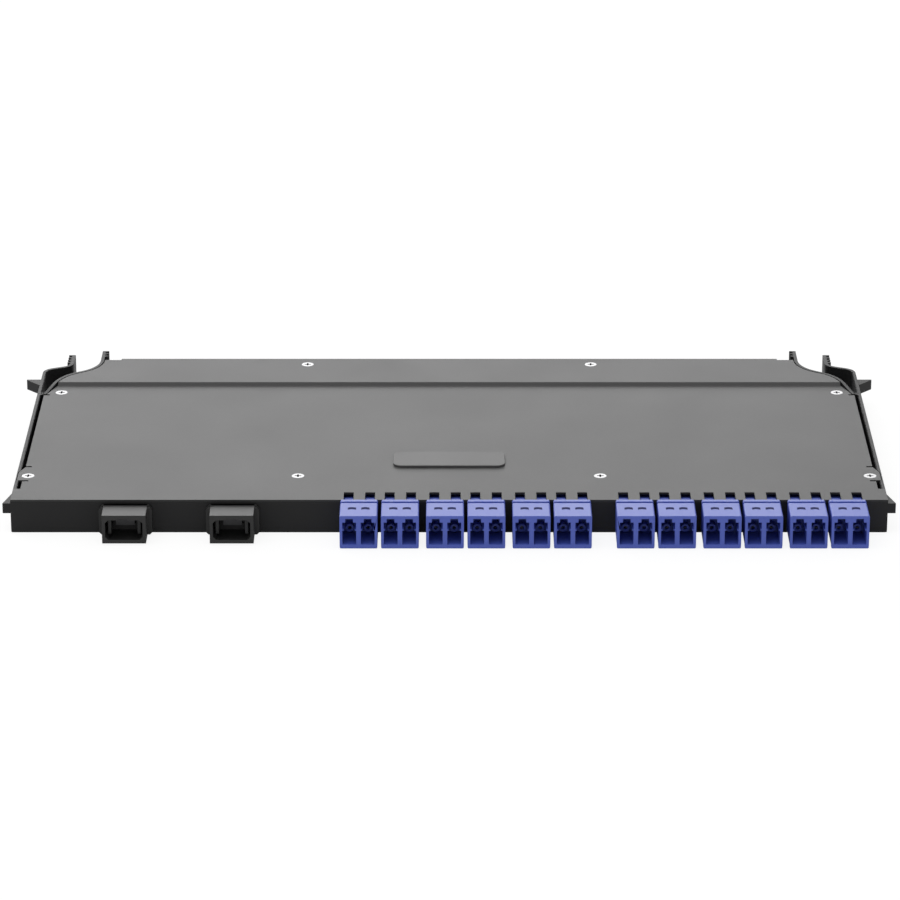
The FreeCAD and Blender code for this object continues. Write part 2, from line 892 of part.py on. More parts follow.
def screw_master():
    """A countersunk screw with a cross recess, its head's top at height zero."""
    body = new_body("screw_master")
    upper = new_sketch(body, "XY_Plane", "head_top")
    add_loop(upper, ring_corners(zero, zero, size.screw_head_radius, HEAD_SIDES))
    lower = new_sketch(body, "XY_Plane", "head_underside", -size.cover_thick)
    add_loop(lower, ring_corners(zero, zero, size.screw_head_radius - size.cover_thick, HEAD_SIDES))
    loft(body, "Additive", upper, lower, "countersunk_head")
    shank = new_sketch(body, "XY_Plane", "shank_section", -size.screw_long)
    add_loop(shank, ring_corners(zero, zero, size.screw_shank_radius, SMALL_SIDES))
    pad(body, shank, "shank", size.screw_long - size.cover_thick)
    cross = new_sketch(body, "XY_Plane", "cross_recess")
    half_long = size.cross_long / 2
    half_wide = size.cross_wide / 2
    add_loop(cross, [
        (-half_long, -half_wide), (-half_wide, -half_wide), (-half_wide, -half_long),
        (half_wide, -half_long), (half_wide, -half_wide), (half_long, -half_wide),
        (half_long, half_wide), (half_wide, half_wide), (half_wide, half_long),
        (-half_wide, half_long), (-half_wide, half_wide), (-half_long, half_wide),
    ])
    pocket(body, cross, "cross_cut", size.cross_deep)
    return body


def placed_copy(master, label, x=zero, y=zero, z=zero):
    """A copy of a finished master at a place that the sheet gives."""
    copy = doc.addObject("Part::Feature", label)
    copy.Label = label
    copy.Shape = master.Shape.copy()
    copy.Placement = Placement(Vector(x.value, y.value, z.value), Rotation())
    copy.setExpression("Placement.Base.x", x.text)
    copy.setExpression("Placement.Base.y", y.text)
    copy.setExpression("Placement.Base.z", z.text)
    return copy


def group(label, members):
    compound = doc.addObject("Part::Compound", label)
    compound.Label = label
    compound.Links = members
    return compound


def cover_screws():
    master = screw_master()
    screws = []
    for name, places, top in (("low", low_screws(), size.case_height), ("high", high_screws(), raised_top)):
        for number, (x, y) in enumerate(places):
            screws.append(placed_copy(master, f"{name}_screw{number}", x, y, top))
    return group("cover_screws", screws)


# Latch arms


def arm_outline():
    """Plan of the right-hand arm: a round root, a straight spring, and an S-bend to the grip."""
    root = Vector(hinge_x.value, hinge_depth.value, 0)
    shoulder = Vector(hinge_x.value, (size.case_depth - size.arm_shoulder_ahead).value, 0)
    pad_foot = Vector(arm_pad_x.value, (size.case_depth - size.arm_pad_ahead).value, 0)
    end = Vector(arm_pad_x.value, arm_end.value, 0)
    route = [root, shoulder, pad_foot, end]
    radii = [size.arm_radius.value, size.arm_radius.value]
    half = size.arm_wall.value / 2
    outer = rounded_route(offset_corners(route, half), offset_radii(route, radii, half))
    inner = rounded_route(offset_corners(route, -half), offset_radii(route, radii, -half))
    back = []
    for edge in reversed(inner):
        start, end_point = end_points(edge)
        if isinstance(edge, Part.LineSegment):
            back.append(Part.LineSegment(end_point, start))
        else:
            shape = edge.toShape()
            middle = shape.valueAt((shape.FirstParameter + shape.LastParameter) / 2)
            back.append(Part.Arc(edge.EndPoint, middle, edge.StartPoint))
    round_root = Part.Arc(root + Vector(-half, 0, 0), root + Vector(0, -half, 0), root + Vector(half, 0, 0))
    return [outer, back, [round_root]]


def latch_arm():
    body = new_body("right_latch_arm")
    outer, back, root = arm_outline()
    outline = chain([outer, back])[:-1] + root
    plan = free_sketch(body, "arm_plan", outline, size.arm_lift)
    pad(body, plan, "arm_blade", size.case_height - size.arm_lift)
    top = size.case_height - size.catch_drop
    catch = new_sketch(body, "XY_Plane", "catch_plan", top - size.catch_tall)
    face = size.case_half_width
    catch_front = size.case_depth - size.catch_front_ahead
    catch_rear = size.case_depth - size.catch_rear_ahead
    add_loop(catch, [
        (hinge_x, catch_front), (face, catch_front),
        (face + size.catch_reach, catch_rear - size.catch_flat), (face + size.catch_reach, catch_rear),
        (hinge_x, catch_rear),
    ])
    pad(body, catch, "catch", size.catch_tall)
    grips = new_sketch(body, "XY_Plane", "grip_plan", size.arm_lift)
    pad_face = arm_pad_x + size.arm_wall / 2
    for number in range(int(size.grip_count.value)):
        rear = arm_end - size.grip_pitch * number
        add_loop(grips, ridge_corners(pad_face, size.grip_tall, rear))
    pad(body, grips, "grip_ridges", size.case_height - size.arm_lift)
    return body


def left_latch(master):
    mirror = doc.addObject("Part::Mirroring", "left_latch_arm")
    mirror.Label = "left_latch_arm"
    mirror.Source = master
    mirror.Base = Vector(0, 0, 0)
    mirror.Normal = Vector(1, 0, 0)
    return mirror


# Duplex LC adapters


def at_depth(body, name, depth):
    """A sketch on an upright plane that faces the front, at a depth behind the panel's face."""
    return new_sketch(body, "XZ_Plane", name, -Length.of(depth))


def port_mouth(centre):
    """Section of one LC port: plug zone, side ledges, latch chamber and key slot."""
    half = size.port_wide / 2
    lip = half - size.ledge_wide
    key = size.key_wide / 2
    right = [
        (half, size.plug_low), (half, size.plug_high), (lip, size.plug_high), (lip, size.ledge_high),
        (half, size.ledge_high), (half, size.latch_high), (key, size.latch_high), (key, size.key_high),
    ]
    corners = right + mirrored(right)
    return [(centre + x, z) for x, z in corners]


def lc_adapter_master():
    body = new_body("lc_adapter_master")
    half = size.lc_wide / 2
    low = size.lc_lift
    top = size.case_height
    slope = size.lc_chamfer
    shroud = at_depth(body, "shroud_face", -size.lc_reach)
    add_loop(shroud, [
        (-half, low), (half, low), (half, top - slope), (half - slope, top), (slope - half, top),
        (-half, top - slope),
    ])
    pad(body, shroud, "shroud", size.lc_reach, reverse=True)
    lower = edges_where(
        body.Shape, lambda p: abs(p.z - low.value) < JOINED and abs(abs(p.x) - half.value) < JOINED)
    dress(body, "Chamfer", lower, size.lc_corner, "lower_corners")
    flange = at_depth(body, "flange_face", -size.flange_deep)
    crown = top + size.flange_proud
    add_loop(flange, [
        (-half, size.flange_low), (half, size.flange_low), (half, top - slope), (half - slope, crown),
        (slope - half, crown), (-half, top - slope),
    ])
    pad(body, flange, "flange_band", size.flange_deep, reverse=True)
    groove = new_sketch(body, "YZ_Plane", "groove_section")
    groove_front = -(size.flange_deep + size.groove_long)
    add_loop(groove, box_corners(groove_front, -size.flange_deep, top - size.groove_deep, top + PAST))
    pocket(body, groove, "top_groove", full_width, both_ways=True)
    neck_half = size.neck_wide / 2
    neck = at_depth(body, "neck_face", zero)
    add_loop(neck, box_corners(-neck_half, neck_half, lc_inner_low, size.neck_top))
    neck_long = size.front_wall + size.neck_play
    pad(body, neck, "neck", neck_long, reverse=True)
    inner_half = size.inner_wide / 2
    inner = at_depth(body, "inner_face", neck_long)
    add_loop(inner, box_corners(-inner_half, inner_half, lc_inner_low, size.inner_top))
    pad(body, inner, "inner_body", size.inner_reach - neck_long, reverse=True)
    lc_snaps(body)
    lc_ports(body)
    return body


def lc_snaps(body):
    """The two sloping tabs on the inner body's top, which come up into the cover's notches."""
    root = size.inner_top - size.snap_sink
    for side, name in ((-1, "left_snap"), (1, "right_snap")):
        start = size.notch_spacing / 2 * side - size.snap_wide / 2
        section = new_sketch(body, "YZ_Plane", f"{name}_section", start)
        add_loop(section, [
            (zero, root), (size.snap_long, root), (size.snap_long, size.snap_rear_high),
            (zero, size.case_height - size.snap_drop),
        ])
        pad(body, section, name, size.snap_wide)


def lc_ports(body):
    """The two front ports, the two inner ports and the sleeve bores between them."""
    sides = (-size.port_pitch / 2, size.port_pitch / 2)
    mouths = at_depth(body, "front_mouths", -size.lc_reach)
    for centre in sides:
        add_loop(mouths, port_mouth(centre))
    pocket(body, mouths, "front_ports", size.lc_reach - size.web_front)
    back = at_depth(body, "inner_mouths", size.inner_reach)
    half = size.port_wide / 2
    for centre in sides:
        add_loop(back, box_corners(centre - half, centre + half, size.plug_low, size.inner_port_high))
    pocket(body, back, "inner_ports", size.inner_reach - size.web_back, reverse=True)
    bores = at_depth(body, "sleeve_bores", -size.web_front)
    for centre in sides:
        seat = size.sleeve_radius + size.sleeve_clearance
        add_loop(bores, ring_corners(centre, lc_axis_height, seat, SMALL_SIDES))
    pocket(body, bores, "sleeve_seats", size.web_front + size.web_back)


def sleeve_master():
    """A ceramic alignment sleeve, centred on its own middle."""
    body = new_body("sleeve_master")
    ends = at_depth(body, "sleeve_section", zero)
    add_loop(ends, ring_corners(zero, zero, size.sleeve_radius, SMALL_SIDES))
    add_loop(ends, ring_corners(zero, zero, size.sleeve_bore, SMALL_SIDES))
    pad(body, ends, "sleeve", size.sleeve_long, both_ways=True)
    return body


def alignment_sleeves():
    master = sleeve_master()
    depth = (size.web_back - size.web_front) / 2
    sleeves = []
    for number, centre in enumerate(lc_centres()):
        for side in (-1, 1):
            x = centre + size.port_pitch / 2 * side
            sleeves.append(placed_copy(master, f"sleeve{number}_{side + 1}", x, depth, lc_axis_height))
    return group("alignment_sleeves", sleeves)


def lc_plug_master():
    """A duplex plug behind one adapter: two plug bodies with latches, a yoke and a flat boot."""
    body = new_body("lc_plug_master")
    low = size.plug_low + size.plug_gap
    high = size.plug_high - size.plug_gap
    half = size.port_wide / 2 - size.plug_gap
    noses = at_depth(body, "plug_noses", size.plug_nose)
    for side in (-1, 1):
        centre = size.port_pitch / 2 * side
        add_loop(noses, box_corners(centre - half, centre + half, low, high))
    yoke = at_depth(body, "yoke_face", size.plug_tail)
    add_loop(yoke, box_corners(-size.yoke_half_wide, size.yoke_half_wide, low, high))
    pad(body, yoke, "yoke", size.yoke_tail - size.plug_tail, reverse=True)
    pad(body, noses, "plug_bodies", size.plug_tail - size.plug_nose, reverse=True)
    plug_levers(body, high)
    start = at_depth(body, "boot_start", size.yoke_tail)
    wide = size.boot_half_wide
    tall = (high - low) / 2 - size.boot_step
    add_loop(start, box_corners(-wide, wide, lc_axis_height - tall, lc_axis_height + tall))
    end = at_depth(body, "boot_end", size.boot_tail)
    end_half = size.boot_end_half
    end_tall = size.leg_tall / 2 + size.boot_wall
    add_loop(end, box_corners(-end_half, end_half, lc_axis_height - end_tall, lc_axis_height + end_tall))
    loft(body, "Additive", start, end, "boot")
    return body


def plug_levers(body, high):
    """The latch lever on each plug body, which rises from its top and reaches back over the yoke."""
    root = size.inner_reach / 2
    tail = size.plug_tail + size.lever_root
    under = size.ledge_high + size.lever_lift
    for side, name in ((-1, "left_lever"), (1, "right_lever")):
        start = size.port_pitch / 2 * side - size.lever_wide / 2
        lever = new_sketch(body, "YZ_Plane", f"{name}_plan", start)
        add_loop(lever, [
            (root, high - size.lever_sink), (root + size.lever_root, high - size.lever_sink),
            (size.inner_reach, under), (tail, under), (tail, under + size.lever_thick),
            (root, high + size.lever_lift),
        ])
        pad(body, lever, name, size.lever_wide)


# MPO adapters


def mpo_mouth():
    """Section of an MPO port, with chamfered corners and the key slot at its top."""
    half = size.mpo_port_wide / 2
    low = mpo_axis_height - size.mpo_port_tall / 2
    high = mpo_axis_height + size.mpo_port_tall / 2
    cut = size.mpo_port_chamfer
    key = size.mpo_key_wide / 2
    right = [
        (half - cut, low), (half, low + cut), (half, high - cut), (half - cut, high), (key, high),
        (key, high + size.mpo_key_tall),
    ]
    return right + mirrored(right)


def mpo_adapter_master():
    body = new_body("mpo_adapter_master")
    half = size.mpo_wide / 2
    face = at_depth(body, "mpo_face", -size.mpo_reach)
    add_loop(face, box_corners(-half, half, size.mpo_low, size.mpo_high))
    pad(body, face, "mpo_front_body", size.mpo_reach, reverse=True)
    wide = size.mpo_flange_wide / 2
    cut = size.mpo_flange_chamfer
    plate = at_depth(body, "mpo_flange_face", -size.mpo_flange_thick)
    right = [
        (wide - cut, size.mpo_low), (wide, size.mpo_low + cut), (wide, size.mpo_high - cut),
        (wide - cut, size.mpo_high),
    ]
    add_loop(plate, right + mirrored(right))
    pad(body, plate, "mpo_flange", size.mpo_flange_thick, reverse=True)
    inner = at_depth(body, "mpo_inner_face", zero)
    add_loop(inner, box_corners(-half, half, lc_inner_low, size.mpo_high))
    pad(body, inner, "mpo_inner_body", size.mpo_inner_reach, reverse=True)
    mouth = at_depth(body, "mpo_mouth", -size.mpo_reach)
    add_loop(mouth, mpo_mouth())
    pocket(body, mouth, "mpo_port", size.mpo_reach - size.mpo_web / 2)
    back = at_depth(body, "mpo_inner_mouth", size.mpo_inner_reach)
    port_half = size.mpo_port_wide / 2
    tall = size.mpo_port_tall / 2
    add_loop(back, box_corners(-port_half, port_half, mpo_axis_height - tall, mpo_axis_height + tall))
    pocket(body, back, "mpo_inner_port", size.mpo_inner_reach - size.mpo_web / 2, reverse=True)
    window = at_depth(body, "ferrule_window", -size.mpo_web / 2)
    reach = size.ferrule_wide / 2 + size.mpo_plug_gap
    rise = size.ferrule_tall / 2 + size.mpo_plug_gap
    add_loop(window, box_corners(-reach, reach, mpo_axis_height - rise, mpo_axis_height + rise))
    pocket(body, window, "ferrule_opening", size.mpo_web)
    mpo_hooks(body)
    return body


def mpo_hooks(body):
    """The two latch hooks that stand forward from the middle web, inside the port's sides."""
    hooks = at_depth(body, "hook_section", -(size.mpo_web / 2 + size.mpo_hook_long))
    inner = size.mpo_hook_gap / 2
    outer = inner + size.mpo_hook_thick
    tall = size.mpo_port_tall / 2 - size.mpo_port_chamfer
    hook = box_corners(inner, outer, mpo_axis_height - tall, mpo_axis_height + tall)
    add_loop(hooks, hook)
    add_loop(hooks, mirrored(hook))
    pad(body, hooks, "latch_hooks", size.mpo_hook_long, reverse=True)


def mpo_plug_master():
    """The plug behind an MPO adapter, with its flat boot; the ferrule passes through its bore."""
    body = new_body("mpo_plug_master")
    nose = size.mpo_web / 2 + size.mpo_nose_gap
    half = size.mpo_port_wide / 2 - size.mpo_plug_gap
    tall = size.mpo_port_tall / 2 - size.mpo_plug_gap
    shell = at_depth(body, "plug_face", nose)
    add_loop(shell, box_corners(-half, half, mpo_axis_height - tall, mpo_axis_height + tall))
    pad(body, shell, "plug_housing", size.mpo_plug_tail - nose, reverse=True)
    bore = at_depth(body, "ferrule_bore", nose)
    reach = size.ferrule_wide / 2
    rise = size.ferrule_tall / 2
    add_loop(bore, box_corners(-reach, reach, mpo_axis_height - rise, mpo_axis_height + rise))
    ferrule_end = size.ferrule_long - size.ferrule_proud - size.mpo_web / 2
    pocket(body, bore, "ferrule_seat", ferrule_end - nose)
    start = at_depth(body, "mpo_boot_start", size.mpo_plug_tail)
    wide = size.mpo_boot_half_wide
    tall = size.mpo_boot_half_tall
    add_loop(start, box_corners(-wide, wide, mpo_axis_height - tall, mpo_axis_height + tall))
    end = at_depth(body, "mpo_boot_end", size.mpo_boot_tail)
    end_half = size.ribbon_thick / 2 + size.mpo_boot_wall
    end_tall = size.ribbon_tall / 2 + size.mpo_boot_rim
    add_loop(end, box_corners(-end_half, end_half, mpo_axis_height - end_tall, mpo_axis_height + end_tall))
    loft(body, "Additive", start, end, "mpo_boot")
    return body


def ferrule_master():
    """The rectangular multi-fibre ferrule, which stands forward through the adapter's web."""
    body = new_body("ferrule_master")
    front = -(size.mpo_web / 2 + size.ferrule_proud)
    face = at_depth(body, "ferrule_face", front)
    reach = size.ferrule_wide / 2
    rise = size.ferrule_tall / 2
    add_loop(face, box_corners(-reach, reach, mpo_axis_height - rise, mpo_axis_height + rise))
    pad(body, face, "ferrule", size.ferrule_long, reverse=True)
    return body


# Fibre ribbons, harnesses and bend formers


def swept_bar(points, radii, wide, tall, height):
    """A flat bar of rectangular section along a rounded route at one height."""
    corners = [Vector(x, y, height) for x, y in points]
    pieces = rounded_route(corners, radii)
    path = Part.Wire([piece.toShape() for piece in pieces])
    heading = (corners[1] - corners[0]).normalize()
    right = Vector(heading.y, -heading.x, 0) * (wide / 2)
    up = Vector(0, 0, tall / 2)
    start = corners[0]
    ring = [start - right - up, start + right - up, start + right + up, start - right + up]
    section = Part.makePolygon(ring + [ring[0]])
    return path.makePipeShell([section], True, False)


def plain_feature(label, shape):
    feature = doc.addObject("Part::Feature", label)
    feature.Label = label
    feature.Shape = shape
    return feature


HARNESSES = {
    # The MPO adapter that feeds it, and the LC adapters that it serves.
    "a": (0, range(6, 12)),
    "b": (1, range(0, 6)),
}


def harness_size(letter, name):
    """One of a harness's own places, such as block_x."""
    return getattr(size, f"harness_{letter}_{name}")


def rear_run_y(letter):
    """Depth of a bundle's run along the case's rear wall."""
    return size.case_depth - harness_size(letter, "rear_ahead")


def bundle_turn(letter):
    """Radius of a bundle's four quarter turns, which stack from its rear run to its front run."""
    return (rear_run_y(letter) - size.front_run_y) / 4


def harness_route(letter):
    """Corners of a bundle's S-shaped route, from its fan-out block to its last leg."""
    rear_y = rear_run_y(letter).value
    front_y = size.front_run_y.value
    middle_y = (rear_y + front_y) / 2
    turn = bundle_turn(letter).value
    start_x = harness_size(letter, "block_x").value + size.block_long.value
    right_x = harness_size(letter, "right_x").value + turn
    left_x = harness_size(letter, "left_x").value - turn
    end_x = lc_centres()[HARNESSES[letter][1][-1]].value - size.leg_radius.value
    points = [
        (start_x, rear_y), (right_x, rear_y), (right_x, middle_y),
        (left_x, middle_y), (left_x, front_y), (end_x, front_y),
    ]
    return points, [turn] * 4


def fibre_harness(letter):
    """Twelve fibres as one bundle, and the legs that leave it for the duplex plugs."""
    points, radii = harness_route(letter)
    height = bundle_height.value
    shape = swept_bar(points, radii, size.bundle_wide.value, size.bundle_tall.value, height)
    radius = size.leg_radius.value
    front_y = size.front_run_y.value
    legs = []
    for number in HARNESSES[letter][1]:
        x = lc_centres()[number].value
        route = [(x - radius - size.leg_lead.value, front_y), (x, front_y), (x, size.boot_tail.value)]
        legs.append(swept_bar(route, [radius], size.leg_wide.value, size.leg_tall.value, height))
    return plain_feature(f"fibre_harness_{letter}", shape.fuse(legs).removeSplitter())


def ribbon_lead(letter):
    """The ribbon from the MPO plug's boot to the fan-out block, standing on edge."""
    x = mpo_centres()[HARNESSES[letter][0]].value
    rear_y = rear_run_y(letter).value
    block_x = harness_size(letter, "block_x").value
    points = [(x, size.mpo_boot_tail.value), (x, rear_y), (block_x, rear_y)]
    turn = size.ribbon_turn.value
    thick = size.ribbon_thick.value
    shape = swept_bar(points, [turn], thick, size.ribbon_tall.value, mpo_axis_height.value)
    return plain_feature(f"ribbon_lead_{letter}", shape)


def fanout_block(letter):
    """The block where a ribbon is split into a bundle of separate fibres."""
    body = new_body(f"fanout_block_{letter}")
    sketch = new_sketch(body, "XY_Plane", "block_outline", size.floor_thick)
    start = harness_size(letter, "block_x")
    middle = rear_run_y(letter)
    half = size.block_wide / 2
    chamfer = half / 2
    end = start + size.block_long
    add_loop(sketch, [
        (start, middle - chamfer), (start + chamfer, middle - half), (end - chamfer, middle - half),
        (end, middle - chamfer), (end, middle + chamfer), (end - chamfer, middle + half),
        (start + chamfer, middle + half), (start, middle + chamfer),
    ])
    pad(body, sketch, "block", size.block_top - size.floor_thick)
    return body


def former_places():
    """Centre and bundle radius of each turn, right-hand turn first, for each harness."""
    places = []
    for letter in HARNESSES:
        turn = bundle_turn(letter)
        places.append((harness_size(letter, "right_x"), rear_run_y(letter) - turn, turn))
        places.append((harness_size(letter, "left_x"), size.front_run_y + turn, turn))
    return places


def bend_former(number, x, y, turn):
    """A ring former that keeps the bundle's bend wide, with a lip over the fibres."""
    body = new_body(f"bend_former_{number}")
    radius = turn - size.bundle_wide / 2 - size.former_gap
    inner = radius - size.former_wall
    lip = radius + size.bundle_wide
    flat = math.cos(math.pi / POST_SIDES)
    wall = new_sketch(body, "XY_Plane", "former_wall_plan", size.floor_thick)
    add_loop(wall, ring_corners(x, y, radius * flat, POST_SIDES))
    add_loop(wall, ring_corners(x, y, inner * flat, POST_SIDES))
    pad(body, wall, "former_wall", size.former_top - size.floor_thick)
    over = new_sketch(body, "XY_Plane", "former_lip_plan", size.former_top - size.former_lip)
    add_loop(over, ring_corners(x, y, lip * flat, POST_SIDES))
    add_loop(over, ring_corners(x, y, inner * flat, POST_SIDES))
    pad(body, over, "former_lip", size.former_lip)
    return body


# Whole object


def build_all():
    nodes = [base_tray(), top_cover(), badge_plate(), cover_screws()]
    right_arm = latch_arm()
    nodes += [right_arm, left_latch(right_arm)]
    adapter = lc_adapter_master()
    plug = lc_plug_master()
    for number, x in enumerate(lc_centres(), start=1):
        nodes.append(placed_copy(adapter, f"lc_adapter_{number:02d}", x))
        nodes.append(placed_copy(plug, f"lc_plug_pair_{number:02d}", x))
    nodes.append(alignment_sleeves())
    mpo_adapter = mpo_adapter_master()
    mpo_plug = mpo_plug_master()
    ferrule = ferrule_master()
    for letter, x in zip("ab", mpo_centres()):
        nodes.append(placed_copy(mpo_adapter, f"mpo_adapter_{letter}", x))
        nodes.append(placed_copy(mpo_plug, f"mpo_plug_{letter}", x))
        nodes.append(placed_copy(ferrule, f"mpo_ferrule_{letter}", x))
        nodes.append(fanout_block(letter))
        nodes.append(ribbon_lead(letter))
        nodes.append(fibre_harness(letter))
    for number, (x, y, turn) in enumerate(former_places(), start=1):
        nodes.append(bend_former(number, x, y, turn))
    doc.recompute()
    return nodes


def check_all(nodes):
    for item in doc.Objects:
        if "Invalid" in item.State or "Error" in item.State:
            raise RuntimeError(f"{item.Label} failed: {item.State}")
    for node in nodes:
        if node.Shape.isNull() or not node.Shape.isValid():
            raise RuntimeError(f"{node.Label} has no valid shape")


def write_all(nodes):
    os.makedirs("parts", exist_ok=True)
    move = Vector(0, -middle_depth.value, 0)
    for node in nodes:
        shape = node.Shape.copy()
        shape.translate(move)
        shape.exportStep(os.path.join("parts", f"{node.Label}.step"))


all_nodes = build_all()
check_all(all_nodes)
write_all(all_nodes)
print(f"{len(all_nodes)} pieces written")
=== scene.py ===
"""Looks of a fibre cassette, built round its packed construction model.

Every length is in metres, in the frame of the model: X across, Y from the adapters to the latches,
and Z up from the floor.
"""

from __future__ import annotations

import logging
import math
from dataclasses import dataclass
from enum import Enum

import bmesh
import bpy
from mathutils import Matrix, Vector

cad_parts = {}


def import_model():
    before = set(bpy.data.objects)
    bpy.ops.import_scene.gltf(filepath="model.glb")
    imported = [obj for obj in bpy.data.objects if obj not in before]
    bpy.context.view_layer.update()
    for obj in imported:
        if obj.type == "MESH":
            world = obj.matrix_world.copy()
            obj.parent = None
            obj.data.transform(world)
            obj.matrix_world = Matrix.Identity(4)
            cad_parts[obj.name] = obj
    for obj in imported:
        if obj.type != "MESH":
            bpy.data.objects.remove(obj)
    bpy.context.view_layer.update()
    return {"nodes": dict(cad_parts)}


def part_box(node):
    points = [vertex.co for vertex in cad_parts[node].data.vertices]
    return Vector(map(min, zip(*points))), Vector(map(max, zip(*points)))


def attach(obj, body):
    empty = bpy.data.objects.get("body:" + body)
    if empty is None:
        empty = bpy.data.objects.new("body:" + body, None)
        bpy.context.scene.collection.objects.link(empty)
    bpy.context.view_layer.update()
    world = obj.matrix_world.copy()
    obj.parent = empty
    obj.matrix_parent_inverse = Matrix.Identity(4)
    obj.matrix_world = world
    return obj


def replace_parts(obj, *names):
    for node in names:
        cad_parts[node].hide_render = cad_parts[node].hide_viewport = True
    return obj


LOG = logging.getLogger("fibre_cassette")
ROOT_BODY = "cassette"
MM = 0.001
QUARTER_TURN = math.radians(90)
WHITE = (1.0, 1.0, 1.0, 1.0)

Colour = tuple[float, float, float]
Box = tuple[Vector, Vector]


class Side(Enum):
    """The two sides of the cassette, as the sign of X."""

    LEFT = -1
    RIGHT = 1

    @property
    def word(self) -> str:
        """The side's name in lower case."""
        return self.name.lower()


@dataclass(frozen=True)
class Texture:
    """How a kind of surface breaks up the light."""

    grain_size: float
    grain_depth: float
    grain_shade: float
    mottle: float
    gloss_spread: float
    metallic: float = 0.0


class Surface(Enum):
    """The kinds of surface, each with its own texture."""

    MOULDED = Texture(
        grain_size=0.30 * MM, grain_depth=0.010 * MM, grain_shade=0.08, mottle=0.08, gloss_spread=0.08)
    COATED = Texture(
        grain_size=0.45 * MM, grain_depth=0.012 * MM, grain_shade=0.16, mottle=0.05, gloss_spread=0.08)
    PLATED = Texture(
        grain_size=0.20 * MM, grain_depth=0.002 * MM, grain_shade=0.04, mottle=0.05, gloss_spread=0.05,
        metallic=1.0)
    CERAMIC = Texture(
        grain_size=0.30 * MM, grain_depth=0.001 * MM, grain_shade=0.02, mottle=0.03, gloss_spread=0.03)
    JACKET = Texture(
        grain_size=0.25 * MM, grain_depth=0.004 * MM, grain_shade=0.05, mottle=0.06, gloss_spread=0.06)


